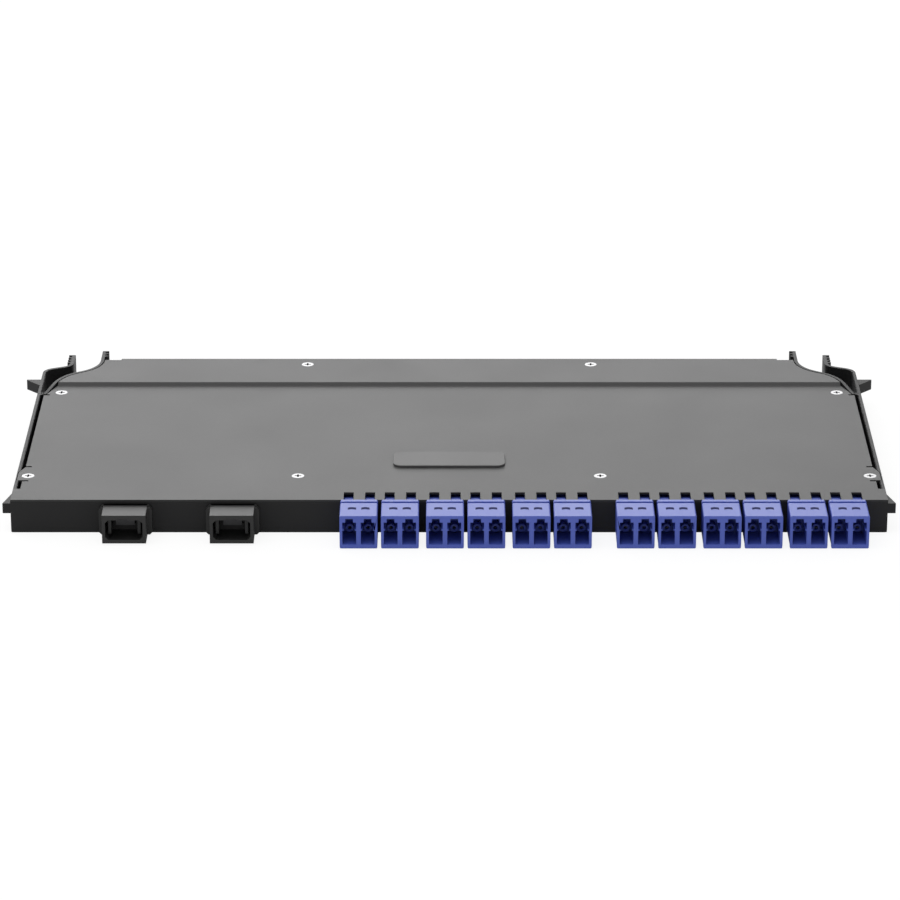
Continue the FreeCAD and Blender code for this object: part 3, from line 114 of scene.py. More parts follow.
class Bench:
    """Selecting, copying and finishing of meshes with operators."""

    # Points nearer to each other than this become one.
    WELD = 0.001 * MM
    TURNED_WELD = 0.0001 * MM
    # Two faces that bend less than this are one flat face.
    FLAT_BELOW = math.radians(0.5)
    # An edge that bends more than this is rounded, with so many faces across it.
    ROUNDED_FROM = math.radians(40)
    ROUND_STEPS = 2
    # The share of its length by which an edge has to run along Y to count as one along Y.
    ALONG_Y = 0.99
    # An edge that bends less than this is shaded smooth, and large faces set the shading by this weight.
    SMOOTH_BELOW = math.radians(32)
    FACE_WEIGHT = 80

    @staticmethod
    def clear() -> None:
        """Leaves edit mode and deselects everything."""
        active = bpy.context.view_layer.objects.active
        if active is not None and active.mode != "OBJECT":
            bpy.ops.object.mode_set(mode="OBJECT")
        bpy.ops.object.select_all(action="DESELECT")

    @staticmethod
    def pick(*pieces: bpy.types.Object) -> None:
        """Selects the pieces alone and makes the last one active.

        Args:
            pieces: The objects to select.
        """
        Bench.clear()
        for piece in pieces:
            piece.select_set(True)
        bpy.context.view_layer.objects.active = pieces[-1]

    @staticmethod
    def settle(piece: bpy.types.Object, name: str) -> bpy.types.Object:
        """Names a piece and puts its place into its mesh.

        Args:
            piece: The object to settle.
            name: Its new name.

        Returns:
            The same object, at the origin.
        """
        Bench.pick(piece)
        bpy.ops.object.transform_apply(location=True, rotation=True, scale=True)
        piece.name = name
        piece.data.name = name
        return piece

    @staticmethod
    def copy_of(source: bpy.types.Object, name: str) -> bpy.types.Object:
        """A new object with its own copy of another's mesh.

        Args:
            source: The object whose mesh is copied.
            name: The copy's name.

        Returns:
            The copy, linked to the scene.
        """
        piece = bpy.data.objects.new(name, source.data.copy())
        piece.data.name = name
        piece.data.materials.clear()
        bpy.context.scene.collection.objects.link(piece)
        return piece

    @staticmethod
    def apply(piece: bpy.types.Object, kind: str, name: str, **settings: object) -> None:
        """Adds a modifier, sets it up and applies it.

        Args:
            piece: The object to change.
            kind: The modifier's type.
            name: The modifier's name.
            settings: Its properties.
        """
        modifier = piece.modifiers.new(name, kind)
        for key, value in settings.items():
            setattr(modifier, key, value)
        Bench.pick(piece)
        bpy.ops.object.modifier_apply(modifier=name)

    @staticmethod
    def merge(piece: bpy.types.Object) -> None:
        """Joins loose triangles into whole flat faces.

        Args:
            piece: The object whose mesh is merged.
        """
        Bench.pick(piece)
        bpy.ops.mesh.customdata_custom_splitnormals_clear()
        bpy.ops.object.mode_set(mode="EDIT")
        bpy.ops.mesh.select_all(action="SELECT")
        bpy.ops.mesh.remove_doubles(threshold=Bench.WELD)
        bpy.ops.mesh.dissolve_limited(angle_limit=Bench.FLAT_BELOW)
        bpy.ops.object.mode_set(mode="OBJECT")

    @staticmethod
    def smooth(piece: bpy.types.Object) -> None:
        """Smooth shading over gentle bends, with large faces kept flat.

        Args:
            piece: The object to shade.
        """
        Bench.pick(piece)
        bpy.ops.object.shade_smooth_by_angle(angle=Bench.SMOOTH_BELOW)
        Bench.apply(piece, "WEIGHTED_NORMAL", "even_faces", keep_sharp=True, weight=Bench.FACE_WEIGHT)

    @staticmethod
    def round_edges(
        piece: bpy.types.Object, edge: float, corner: float, corner_height: float, steps: int = ROUND_STEPS
    ) -> None:
        """Rounds the sharp edges of a piece.

        Args:
            piece: The piece to round.
            edge: The radius of an ordinary edge.
            corner: A wider radius for the edges along Y near the floor, or zero.
            corner_height: The height up to which the wider radius holds.
            steps: The number of faces across a rounding.
        """
        widest = max(edge, corner)
        Bench.weigh_edges(piece, edge / widest, corner_height)
        Bench.apply(
            piece, "BEVEL", "edge_rounding", width=widest, segments=steps, limit_method="WEIGHT",
            use_clamp_overlap=False)

    @staticmethod
    def soften(
        source: bpy.types.Object, name: str, edge: float, corner: float = 0.0, corner_height: float = 0.0,
        cuts: tuple[Box, ...] = ()
    ) -> bpy.types.Object:
        """A copy of a construction piece with its edges rounded as moulding or coating leaves them.

        Args:
            source: The construction piece.
            name: The copy's name.
            edge: The radius of the edges.
            corner: A wider radius for the edges along Y near the floor, or zero.
            corner_height: The height up to which the wider radius holds.
            cuts: Fine grooves to cut afterwards, each as the two corners of a box.

        Returns:
            The rounded copy.
        """
        piece = Bench.copy_of(source, name)
        Bench.merge(piece)
        Bench.round_edges(piece, edge, corner, corner_height)
        for box in cuts:
            Bench.cut(piece, Bench.block("groove_cutter", box))
        Bench.smooth(piece)
        return piece

    @staticmethod
    def cut(piece: bpy.types.Object, cutter: bpy.types.Object, **settings: object) -> None:
        """Cuts one piece out of another and removes the cutter.

        Args:
            piece: The piece that stays.
            cutter: The piece that is used up.
            settings: Further properties of the modifier.
        """
        Bench.apply(
            piece, "BOOLEAN", "cut", object=cutter, operation="DIFFERENCE", solver="EXACT", **settings)
        bpy.data.objects.remove(cutter)

    @staticmethod
    def join(shell: bpy.types.Object, parts: list[bpy.types.Object], name: str) -> bpy.types.Object:
        """Joins finished parts to a shell as one piece.

        Args:
            shell: The piece that takes them up.
            parts: The parts.
            name: The joined piece's name.

        Returns:
            The joined piece.
        """
        if parts:
            Bench.pick(*parts, shell)
            bpy.ops.object.join()
        return Bench.settle(shell, name)

    @staticmethod
    def block(name: str, box: Box) -> bpy.types.Object:
        """A plain block between two corners.

        Args:
            name: The block's name.
            box: Its lowest and highest corners.

        Returns:
            The block.
        """
        low, high = box
        Bench.clear()
        bpy.ops.mesh.primitive_cube_add(size=1.0)
        piece = bpy.context.object
        piece.scale = high - low
        piece.location = (low + high) / 2
        return Bench.settle(piece, name)

    @staticmethod
    def weigh_edges(piece: bpy.types.Object, share: float, corner_height: float) -> None:
        """Marks each sharp edge with its share of the widest rounding.

        Args:
            piece: The piece to mark.
            share: The share of an ordinary edge.
            corner_height: The height up to which an edge that runs along Y gets the whole rounding.
        """
        mesh = bmesh.new()
        mesh.from_mesh(piece.data)
        layer = mesh.edges.layers.float.get("bevel_weight_edge")
        if layer is None:
            layer = mesh.edges.layers.float.new("bevel_weight_edge")
        for edge in mesh.edges:
            edge[layer] = 0.0
            if len(edge.link_faces) != 2 or edge.calc_face_angle() < Bench.ROUNDED_FROM:
                continue
            start, end = (corner.co for corner in edge.verts)
            low = max(start.z, end.z) < corner_height
            along = abs(start.y - end.y) > Bench.ALONG_Y * (start - end).length
            edge[layer] = 1.0 if low and along else share
        mesh.to_mesh(piece.data)
        mesh.free()

    @staticmethod
    def turned(name: str, profile: list[tuple[float, float]], steps: int) -> bpy.types.Object:
        """A piece turned round Z from an outline.

        Args:
            name: The piece's name.
            profile: Radius and height of each corner of the outline.
            steps: The number of flats round the piece.

        Returns:
            The turned piece, on the Z axis.
        """
        corners = [(radius, 0.0, height) for radius, height in profile]
        lines = [(number, number + 1) for number in range(len(corners) - 1)]
        mesh = bpy.data.meshes.new(name)
        mesh.from_pydata(corners, lines, [])
        piece = bpy.data.objects.new(name, mesh)
        bpy.context.scene.collection.objects.link(piece)
        Bench.apply(
            piece, "SCREW", "turning", axis="Z", steps=steps, render_steps=steps, use_merge_vertices=True,
            merge_threshold=Bench.TURNED_WELD)
        Bench.pick(piece)
        bpy.ops.object.mode_set(mode="EDIT")
        bpy.ops.mesh.select_all(action="SELECT")
        bpy.ops.mesh.remove_doubles(threshold=Bench.TURNED_WELD)
        bpy.ops.mesh.normals_make_consistent(inside=False)
        bpy.ops.object.mode_set(mode="OBJECT")
        return piece


@dataclass(frozen=True)
class Fill:
    """A rounded block that completes a form, set a hair inside the faces that it continues."""

    low: Vector
    high: Vector
    edge: float
    corner: float = 0.0
    steps: int = Bench.ROUND_STEPS
    hair: float = 0.01 * MM

    def build(self) -> bpy.types.Object:
        """Makes the block, with the wider rounding on its two lower edges along Y.

        Returns:
            The block.
        """
        inset = Vector((self.hair,) * 3)
        piece = Bench.block("fill", (self.low + inset, self.high - inset))
        Bench.round_edges(piece, self.edge, self.corner, self.low.z + self.edge, self.steps)
        Bench.smooth(piece)
        return piece


class Nodes:
    """Short calls for building a node tree."""

    def __init__(self, tree: bpy.types.NodeTree) -> None:
        """Keeps the tree that the calls work on.

        Args:
            tree: The node tree.
        """
        self.tree = tree

    def add(self, kind: str, **settings: object) -> bpy.types.Node:
        """Adds a node.

        Args:
            kind: The node's type.
            settings: Its properties.

        Returns:
            The node.
        """
        node = self.tree.nodes.new(kind)
        for key, value in settings.items():
            setattr(node, key, value)
        return node

    def link(self, start: bpy.types.NodeSocket, end: bpy.types.NodeSocket) -> None:
        """Links an output to an input."""
        self.tree.links.new(start, end)

    def maths(self, operation: str, first: object, second: object) -> bpy.types.NodeSocket:
        """A Math node on two sockets or numbers.

        Args:
            operation: The node's operation.
            first: Its first input.
            second: Its second input.

        Returns:
            The node's output.
        """
        node = self.add("ShaderNodeMath", operation=operation)
        for socket, value in zip(node.inputs, (first, second)):
            if isinstance(value, bpy.types.NodeSocket):
                self.link(value, socket)
            else:
                socket.default_value = value
        return node.outputs[0]


class GrainGroup:
    """The shared surface effect: fine texture, broad mottling and uneven gloss."""

    NAME = "surface_grain"
    BROAD_DETAIL = 3.0
    FINE_DETAIL = 2.0
    NOISE_MIDDLE = 0.5
    INPUTS = (
        ("Base", "NodeSocketColor", (0.5, 0.5, 0.5, 1.0)),
        ("Mottle", "NodeSocketFloat", 0.05),
        ("Mottle Scale", "NodeSocketFloat", 40.0),
        ("Grain Scale", "NodeSocketFloat", 3000.0),
        ("Grain Shade", "NodeSocketFloat", 0.05),
        ("Roughness", "NodeSocketFloat", 0.5),
        ("Gloss Spread", "NodeSocketFloat", 0.05),
    )
    OUTPUTS = (
        ("Color", "NodeSocketColor"),
        ("Roughness", "NodeSocketFloat"),
        ("Height", "NodeSocketFloat"),
    )

    @classmethod
    def get(cls) -> bpy.types.NodeTree:
        """The group, built the first time that it is asked for."""
        return bpy.data.node_groups.get(cls.NAME) or cls._build()

    @classmethod
    def _build(cls) -> bpy.types.NodeTree:
        """Builds the group.

        Returns:
            The finished node group.
        """
        tree = bpy.data.node_groups.new(cls.NAME, "ShaderNodeTree")
        for name, kind, value in cls.INPUTS:
            socket = tree.interface.new_socket(name=name, in_out="INPUT", socket_type=kind)
            socket.default_value = value
        for name, kind in cls.OUTPUTS:
            tree.interface.new_socket(name=name, in_out="OUTPUT", socket_type=kind)
        nodes = Nodes(tree)
        given = nodes.add("NodeGroupInput")
        result = nodes.add("NodeGroupOutput")
        place = nodes.add("ShaderNodeTexCoord").outputs["Object"]
        broad = cls._noise(nodes, place, given.outputs["Mottle Scale"], cls.BROAD_DETAIL)
        fine = cls._noise(nodes, place, given.outputs["Grain Scale"], cls.FINE_DETAIL)
        mottle = cls._swing(nodes, broad, given.outputs["Mottle"])
        grain = cls._swing(nodes, fine, given.outputs["Grain Shade"])
        value = nodes.maths("ADD", nodes.maths("ADD", mottle, grain), 1.0)
        shade = nodes.add("ShaderNodeHueSaturation")
        nodes.link(given.outputs["Base"], shade.inputs["Color"])
        nodes.link(value, shade.inputs["Value"])
        nodes.link(shade.outputs["Color"], result.inputs["Color"])
        gloss = cls._swing(nodes, broad, given.outputs["Gloss Spread"])
        nodes.link(nodes.maths("ADD", given.outputs["Roughness"], gloss), result.inputs["Roughness"])
        nodes.link(fine, result.inputs["Height"])
        return tree

    @classmethod
    def _swing(
        cls, nodes: Nodes, noise: bpy.types.NodeSocket, strength: bpy.types.NodeSocket
    ) -> bpy.types.NodeSocket:
        """The swing of a noise to both sides of zero.

        Args:
            nodes: The tree's calls.
            noise: The noise's value.
            strength: The socket that gives how far it swings.

        Returns:
            The swing.
        """
        return nodes.maths("MULTIPLY", nodes.maths("SUBTRACT", noise, cls.NOISE_MIDDLE), strength)

    @staticmethod
    def _noise(
        nodes: Nodes, place: bpy.types.NodeSocket, scale: bpy.types.NodeSocket, detail: float
    ) -> bpy.types.NodeSocket:
        """A noise texture.

        Args:
            nodes: The tree's calls.
            place: The coordinates.
            scale: The socket that gives its scale.
            detail: Its detail.

        Returns:
            Its value output.
        """
        noise = nodes.add("ShaderNodeTexNoise")
        noise.inputs["Detail"].default_value = detail
        nodes.link(place, noise.inputs["Vector"])
        nodes.link(scale, noise.inputs["Scale"])
        return noise.outputs[0]


@dataclass(frozen=True)
class Finish:
    """One finish of the cassette, as a maker would describe it."""

    name: str
    slot: str
    surface: Surface
    colour: Colour
    roughness: float
    specular: float = 0.5

    def material(self) -> bpy.types.Material:
        """The finish as a material, built the first time that it is asked for."""
        return bpy.data.materials.get(self.name) or self._build()

    def _build(self) -> bpy.types.Material:
        """Builds the material.

        Returns:
            The finished material.
        """
        texture = self.surface.value
        material = bpy.data.materials.new(self.name)
        material.use_nodes = True
        nodes = Nodes(material.node_tree)
        shader = material.node_tree.nodes["Principled BSDF"]
        shader.inputs["Specular IOR Level"].default_value = self.specular
        shader.inputs["Metallic"].default_value = texture.metallic
        grain = nodes.add("ShaderNodeGroup", node_tree=GrainGroup.get())
        grain.inputs["Base"].default_value = (*self.colour, 1.0)
        grain.inputs["Mottle"].default_value = texture.mottle
        grain.inputs["Grain Scale"].default_value = 1.0 / texture.grain_size
        grain.inputs["Grain Shade"].default_value = texture.grain_shade
        grain.inputs["Roughness"].default_value = self.roughness
        grain.inputs["Gloss Spread"].default_value = texture.gloss_spread
        bump = nodes.add("ShaderNodeBump")
        bump.inputs["Distance"].default_value = texture.grain_depth
        nodes.link(grain.outputs["Height"], bump.inputs["Height"])
        nodes.link(grain.outputs["Color"], shader.inputs["Base Color"])
        nodes.link(grain.outputs["Roughness"], shader.inputs["Roughness"])
        nodes.link(bump.outputs["Normal"], shader.inputs["Normal"])
        return material

    def dress(self, piece: bpy.types.Object) -> bpy.types.Object:
        """Gives a piece this finish.

        Args:
            piece: The piece to dress.

        Returns:
            The same piece.
        """
        piece.data.materials.clear()
        piece.data.materials.append(self.material())
        return piece


BLACK_MOULDING = Finish(
    "black_moulding", "tray_black", Surface.MOULDED, (0.007, 0.007, 0.0075), roughness=0.50, specular=0.36)
COVER_COAT = Finish(
    "cover_coat", "cover_grey", Surface.COATED, (0.092, 0.092, 0.092), roughness=0.46, specular=0.24)
# A darker copy of the cover's coat, which paints shade on the sheet's upright faces.
COVER_SIDE_SHADE = Finish(
    "cover_painted_side_shade", "cover_grey", Surface.COATED, (0.035, 0.035, 0.035), roughness=0.60, specular=0.2)
BADGE_COAT = Finish(
    "badge_coat", "cover_grey", Surface.COATED, (0.088, 0.088, 0.088), roughness=0.42, specular=0.24)
SCREW_PLATING = Finish("screw_plating", "screw_metal", Surface.PLATED, (0.34, 0.34, 0.345), roughness=0.30)
# A dark copy of the plating, which paints shade in the screws' cross recesses.
SCREW_RECESS_SHADE = Finish("screw_recess_painted_shade", "screw_metal", Surface.PLATED, (0.03, 0.03, 0.03), roughness=0.60)
BLUE_MOULDING = Finish(
    "blue_moulding", "adapter_blue", Surface.MOULDED, (0.085, 0.130, 0.53), roughness=0.40)
BLUE_RECESS_SHADE = Finish(
    # Dark blue that paints the shade of the small recesses on each adapter's top.
    "blue_painted_recess_shade", "adapter_blue", Surface.MOULDED, (0.015, 0.018, 0.09), roughness=0.70, specular=0.1)
BLACK_ADAPTER = Finish(
    "black_adapter", "adapter_black", Surface.MOULDED, (0.014, 0.014, 0.014), roughness=0.46, specular=0.52)
# A white ceramic toned down below white zirconia, which paints the shade deep inside the ports.
SHADED_SLEEVE_CERAMIC = Finish(
    "sleeve_ceramic_painted_shade", "ceramic_white", Surface.CERAMIC, (0.62, 0.61, 0.58), roughness=0.18)
BLUE_PLUG = Finish("blue_plug", "plug_blue", Surface.MOULDED, (0.035, 0.055, 0.27), roughness=0.42)
BLACK_PLUG = Finish("black_plug", "plug_black", Surface.MOULDED, (0.013, 0.013, 0.013), roughness=0.5)
GREY_FERRULE = Finish("grey_ferrule", "ferrule_grey", Surface.CERAMIC, (0.07, 0.07, 0.075), roughness=0.35)
FIBRE_JACKET = Finish("fibre_jacket", "fibre_yellow", Surface.JACKET, (0.83, 0.55, 0.04), roughness=0.5)


@dataclass(frozen=True)
class Softbox:
    """One soft lamp that faces the object, with its power in watts."""

    name: str
    place: tuple[float, float, float]
    wide: float
    tall: float
    power: float

    def hang(self) -> None:
        """Hangs the lamp in its place."""
        data = bpy.data.lights.new(self.name, "AREA")
        data.shape = "RECTANGLE"
        data.size = self.wide
        data.size_y = self.tall
        data.energy = self.power
        lamp = bpy.data.objects.new(self.name, data)
        lamp.location = self.place
        lamp.rotation_euler = (-Vector(self.place)).to_track_quat("-Z", "Y").to_euler()
        bpy.context.scene.collection.objects.link(lamp)


@dataclass
class Studio:
    """The camera, the floor, the lamps and the surroundings, with the camera's tilt in degrees."""

    stand_back: float = 1.4015
    camera_height: float = 0.55685
    camera_x: float = 0.3 * MM
    camera_tilt: float = 69.4
    lens: float = 176.65
    sensor: float = 36.0
    floor_size: float = 12.0
    floor_drop: float = 0.1 * MM
    floor_albedo: float = 0.82
    floor_roughness: float = 0.9
    seen_albedo: float = 0.20
    floor_glow: float = 0.86
    ambient: float = 0.55
    seen_strength: float = 1.0
    lamps: tuple[Softbox, ...] = (
        Softbox("overhead_lamp", place=(-0.5, -0.5, 2.2), wide=2.0, tall=2.0, power=14.0),
        Softbox("rear_softbox", place=(-1.15, 2.8, 1.25), wide=4.0, tall=1.6, power=46.0),
    )

    def build(self) -> None:
        """Builds everything round the object."""
        self._camera()
        self._floor()
        self._world()
        for lamp in self.lamps:
            lamp.hang()

    def _camera(self) -> None:
        """Sets the camera at the photograph's angle, in front of the panel's face."""
        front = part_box("base_tray")[0].y
        data = bpy.data.cameras.new("camera")
        data.sensor_width = self.sensor
        data.lens = self.lens
        data.clip_end = 2 * self.floor_size
        camera = bpy.data.objects.new("camera", data)
        camera.location = (self.camera_x, front - self.stand_back, self.camera_height)
        camera.rotation_euler = (math.radians(self.camera_tilt), 0.0, 0.0)
        bpy.context.scene.collection.objects.link(camera)
        bpy.context.scene.camera = camera
        bpy.context.scene.view_settings.view_transform = "Standard"

    def _floor(self) -> None:
        """Lays the pale floor, which the camera sees as almost evenly white."""
        Bench.clear()
        bpy.ops.mesh.primitive_plane_add(size=self.floor_size, location=(0.0, 0.0, -self.floor_drop))
        floor = Bench.settle(bpy.context.object, "floor")
        material = bpy.data.materials.new("pale_floor")
        material.use_nodes = True
        nodes = Nodes(material.node_tree)
        shader = material.node_tree.nodes["Principled BSDF"]
        shader.inputs["Roughness"].default_value = self.floor_roughness
        shader.inputs["Specular IOR Level"].default_value = 0.0
        shader.inputs["Emission Color"].default_value = WHITE
        seen = nodes.add("ShaderNodeLightPath").outputs["Is Camera Ray"]
        held_back = nodes.maths("MULTIPLY", seen, self.floor_albedo - self.seen_albedo)
        nodes.link(nodes.maths("SUBTRACT", self.floor_albedo, held_back), shader.inputs["Base Color"])
        nodes.link(nodes.maths("MULTIPLY", seen, self.floor_glow), shader.inputs["Emission Strength"])
        floor.data.materials.append(material)

    def _world(self) -> None:
        """White surroundings where they are seen or mirrored, and a plain level as light."""
        world = bpy.data.worlds.new("surroundings")
        world.use_nodes = True
        bpy.context.scene.world = world
        nodes = Nodes(world.node_tree)
        light = world.node_tree.nodes["Background"]
        light.inputs["Strength"].default_value = self.ambient
        light.inputs["Color"].default_value = WHITE
        seen = nodes.add("ShaderNodeBackground")
        seen.inputs["Strength"].default_value = self.seen_strength
        path = nodes.add("ShaderNodeLightPath")
        shown = nodes.maths("MAXIMUM", path.outputs["Is Camera Ray"], path.outputs["Is Glossy Ray"])
        shown = nodes.maths("MAXIMUM", shown, path.outputs["Is Transmission Ray"])
        mix = nodes.add("ShaderNodeMixShader")
        nodes.link(shown, mix.inputs[0])
        nodes.link(light.outputs[0], mix.inputs[1])
        nodes.link(seen.outputs[0], mix.inputs[2])
        nodes.link(mix.outputs[0], world.node_tree.nodes["World Output"].inputs["Surface"])


@dataclass(frozen=True)
class RimLine:
    """The fine moulded line along the top of each side wall and of the arm behind it."""

    inset: float = 1.05 * MM
    wide: float = 0.22 * MM
    deep: float = 0.30 * MM
    above: float = 0.50 * MM

    def cut(self, side: Side, start: float, end: float, top: float) -> Box:
        """The box that cuts the line on one side.

        Args:
            side: The side.
            start: Y of the line's front end.
            end: Y of its rear end.
            top: Z of the wall's top.

        Returns:
            The box's two corners.
        """
        low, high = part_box("top_cover")
        outer = (high.x - low.x) / 2 - self.inset
        xs = sorted((side.value * outer, side.value * (outer - self.wide)))
        return Vector((xs[0], start, top - self.deep)), Vector((xs[1], end, top + self.above))


@dataclass
class Case:
    """The tray, the cover and the blank badge plate."""

    nodes: dict[str, bpy.types.Object]
    tray_edge: float = 0.10 * MM
    cover_edge: float = 0.07 * MM
    badge_edge: float = 0.25 * MM
    upright: float = 0.3
    foot_radius: float = 1.4 * MM
    foot_deep: float = 1.45 * MM
    foot_steps: int = 6
    line_start: float = 11.5 * MM
    line_end: float = 105.0 * MM

    def build(self) -> list[bpy.types.Object]:
        """Makes the shells with softened edges.

        Returns:
            The finished pieces.
        """
        tray = self._shell(
            "base_tray", "tray_shell", self.tray_edge, BLACK_MOULDING, (self._foot(),), self._rim_lines())
        cover = self._shell("top_cover", "cover_sheet", self.cover_edge, COVER_COAT)
        # Painted shade on the upright faces of the sheet.
        self._paint_side_shade(cover)
        badge = self._shell("badge_plate", "badge_plate_blank", self.badge_edge, BADGE_COAT)
        return [tray, cover, badge]

    def _foot(self) -> Fill:
        """The crisp lower edge of the front panel, between the rounded corners of the tray."""
        low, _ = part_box("base_tray")
        face = low.y + self.foot_deep / 2
        half = max(
            corner.co.x for corner in self.nodes["base_tray"].data.vertices
            if corner.co.y < face and corner.co.z < low.z + 2 * self.foot_deep)
        return Fill(
            Vector((-half, low.y, low.z)), Vector((half, low.y + self.foot_deep, low.z + self.foot_deep)),
            self.tray_edge, self.foot_radius, self.foot_steps)

    def _rim_lines(self) -> tuple[Box, ...]:
        """The two lines along the tops of the side walls."""
        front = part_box("base_tray")[0].y
        _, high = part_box("left_latch_arm")
        return tuple(
            RimLine().cut(side, front + self.line_start, front + self.line_end, high.z) for side in Side)

    def _paint_side_shade(self, cover: bpy.types.Object) -> None:
        """Paints shade on the upright faces of the sheet, with a darker copy of its coat.

        Args:
            cover: The finished sheet.
        """
        cover.data.materials.append(COVER_SIDE_SHADE.material())
        shade_index = len(cover.data.materials) - 1
        for face in cover.data.polygons:
            if abs(face.normal.z) < self.upright:
                face.material_index = shade_index

    def _shell(
        self, node: str, name: str, edge: float, finish: Finish, fills: tuple[Fill, ...] = (),
        cuts: tuple[Box, ...] = ()
    ) -> bpy.types.Object:
        """One shell in place of its construction piece.

        Args:
            node: The construction piece's name.
            name: The shell's name.
            edge: The radius of its edges.
            finish: Its finish.
            fills: Blocks that complete its form.
            cuts: Fine grooves to cut.

        Returns:
            The finished shell.
        """
        shell = Bench.soften(self.nodes[node], f"{name}_form", edge, cuts=cuts)
        piece = Bench.join(shell, [fill.build() for fill in fills], name)
        finish.dress(piece)
        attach(piece, ROOT_BODY)
        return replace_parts(piece, node)


@dataclass
class Latches:
    """The two spring arms with their catches and grips."""

    nodes: dict[str, bpy.types.Object]
    edge: float = 0.12 * MM
    line_start: float = 1.5 * MM
    line_end: float = 23.5 * MM

    def build(self) -> list[bpy.types.Object]:
        """Makes both arms.

        Returns:
            The finished arms.
        """
        return [self._arm(side) for side in Side]

    def _arm(self, side: Side) -> bpy.types.Object:
        """One arm, which rides on its own body.

        Args:
            side: The arm's side.

        Returns:
            The finished arm.
        """
        node = f"{side.word}_latch_arm"
        low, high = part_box(node)
        line = RimLine().cut(side, low.y + self.line_start, low.y + self.line_end, high.z)
        piece = Bench.soften(self.nodes[node], f"{side.word}_squeeze_arm", self.edge, cuts=(line,))
        BLACK_MOULDING.dress(piece)
        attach(piece, f"{side.word}_latch")
        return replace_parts(piece, node)


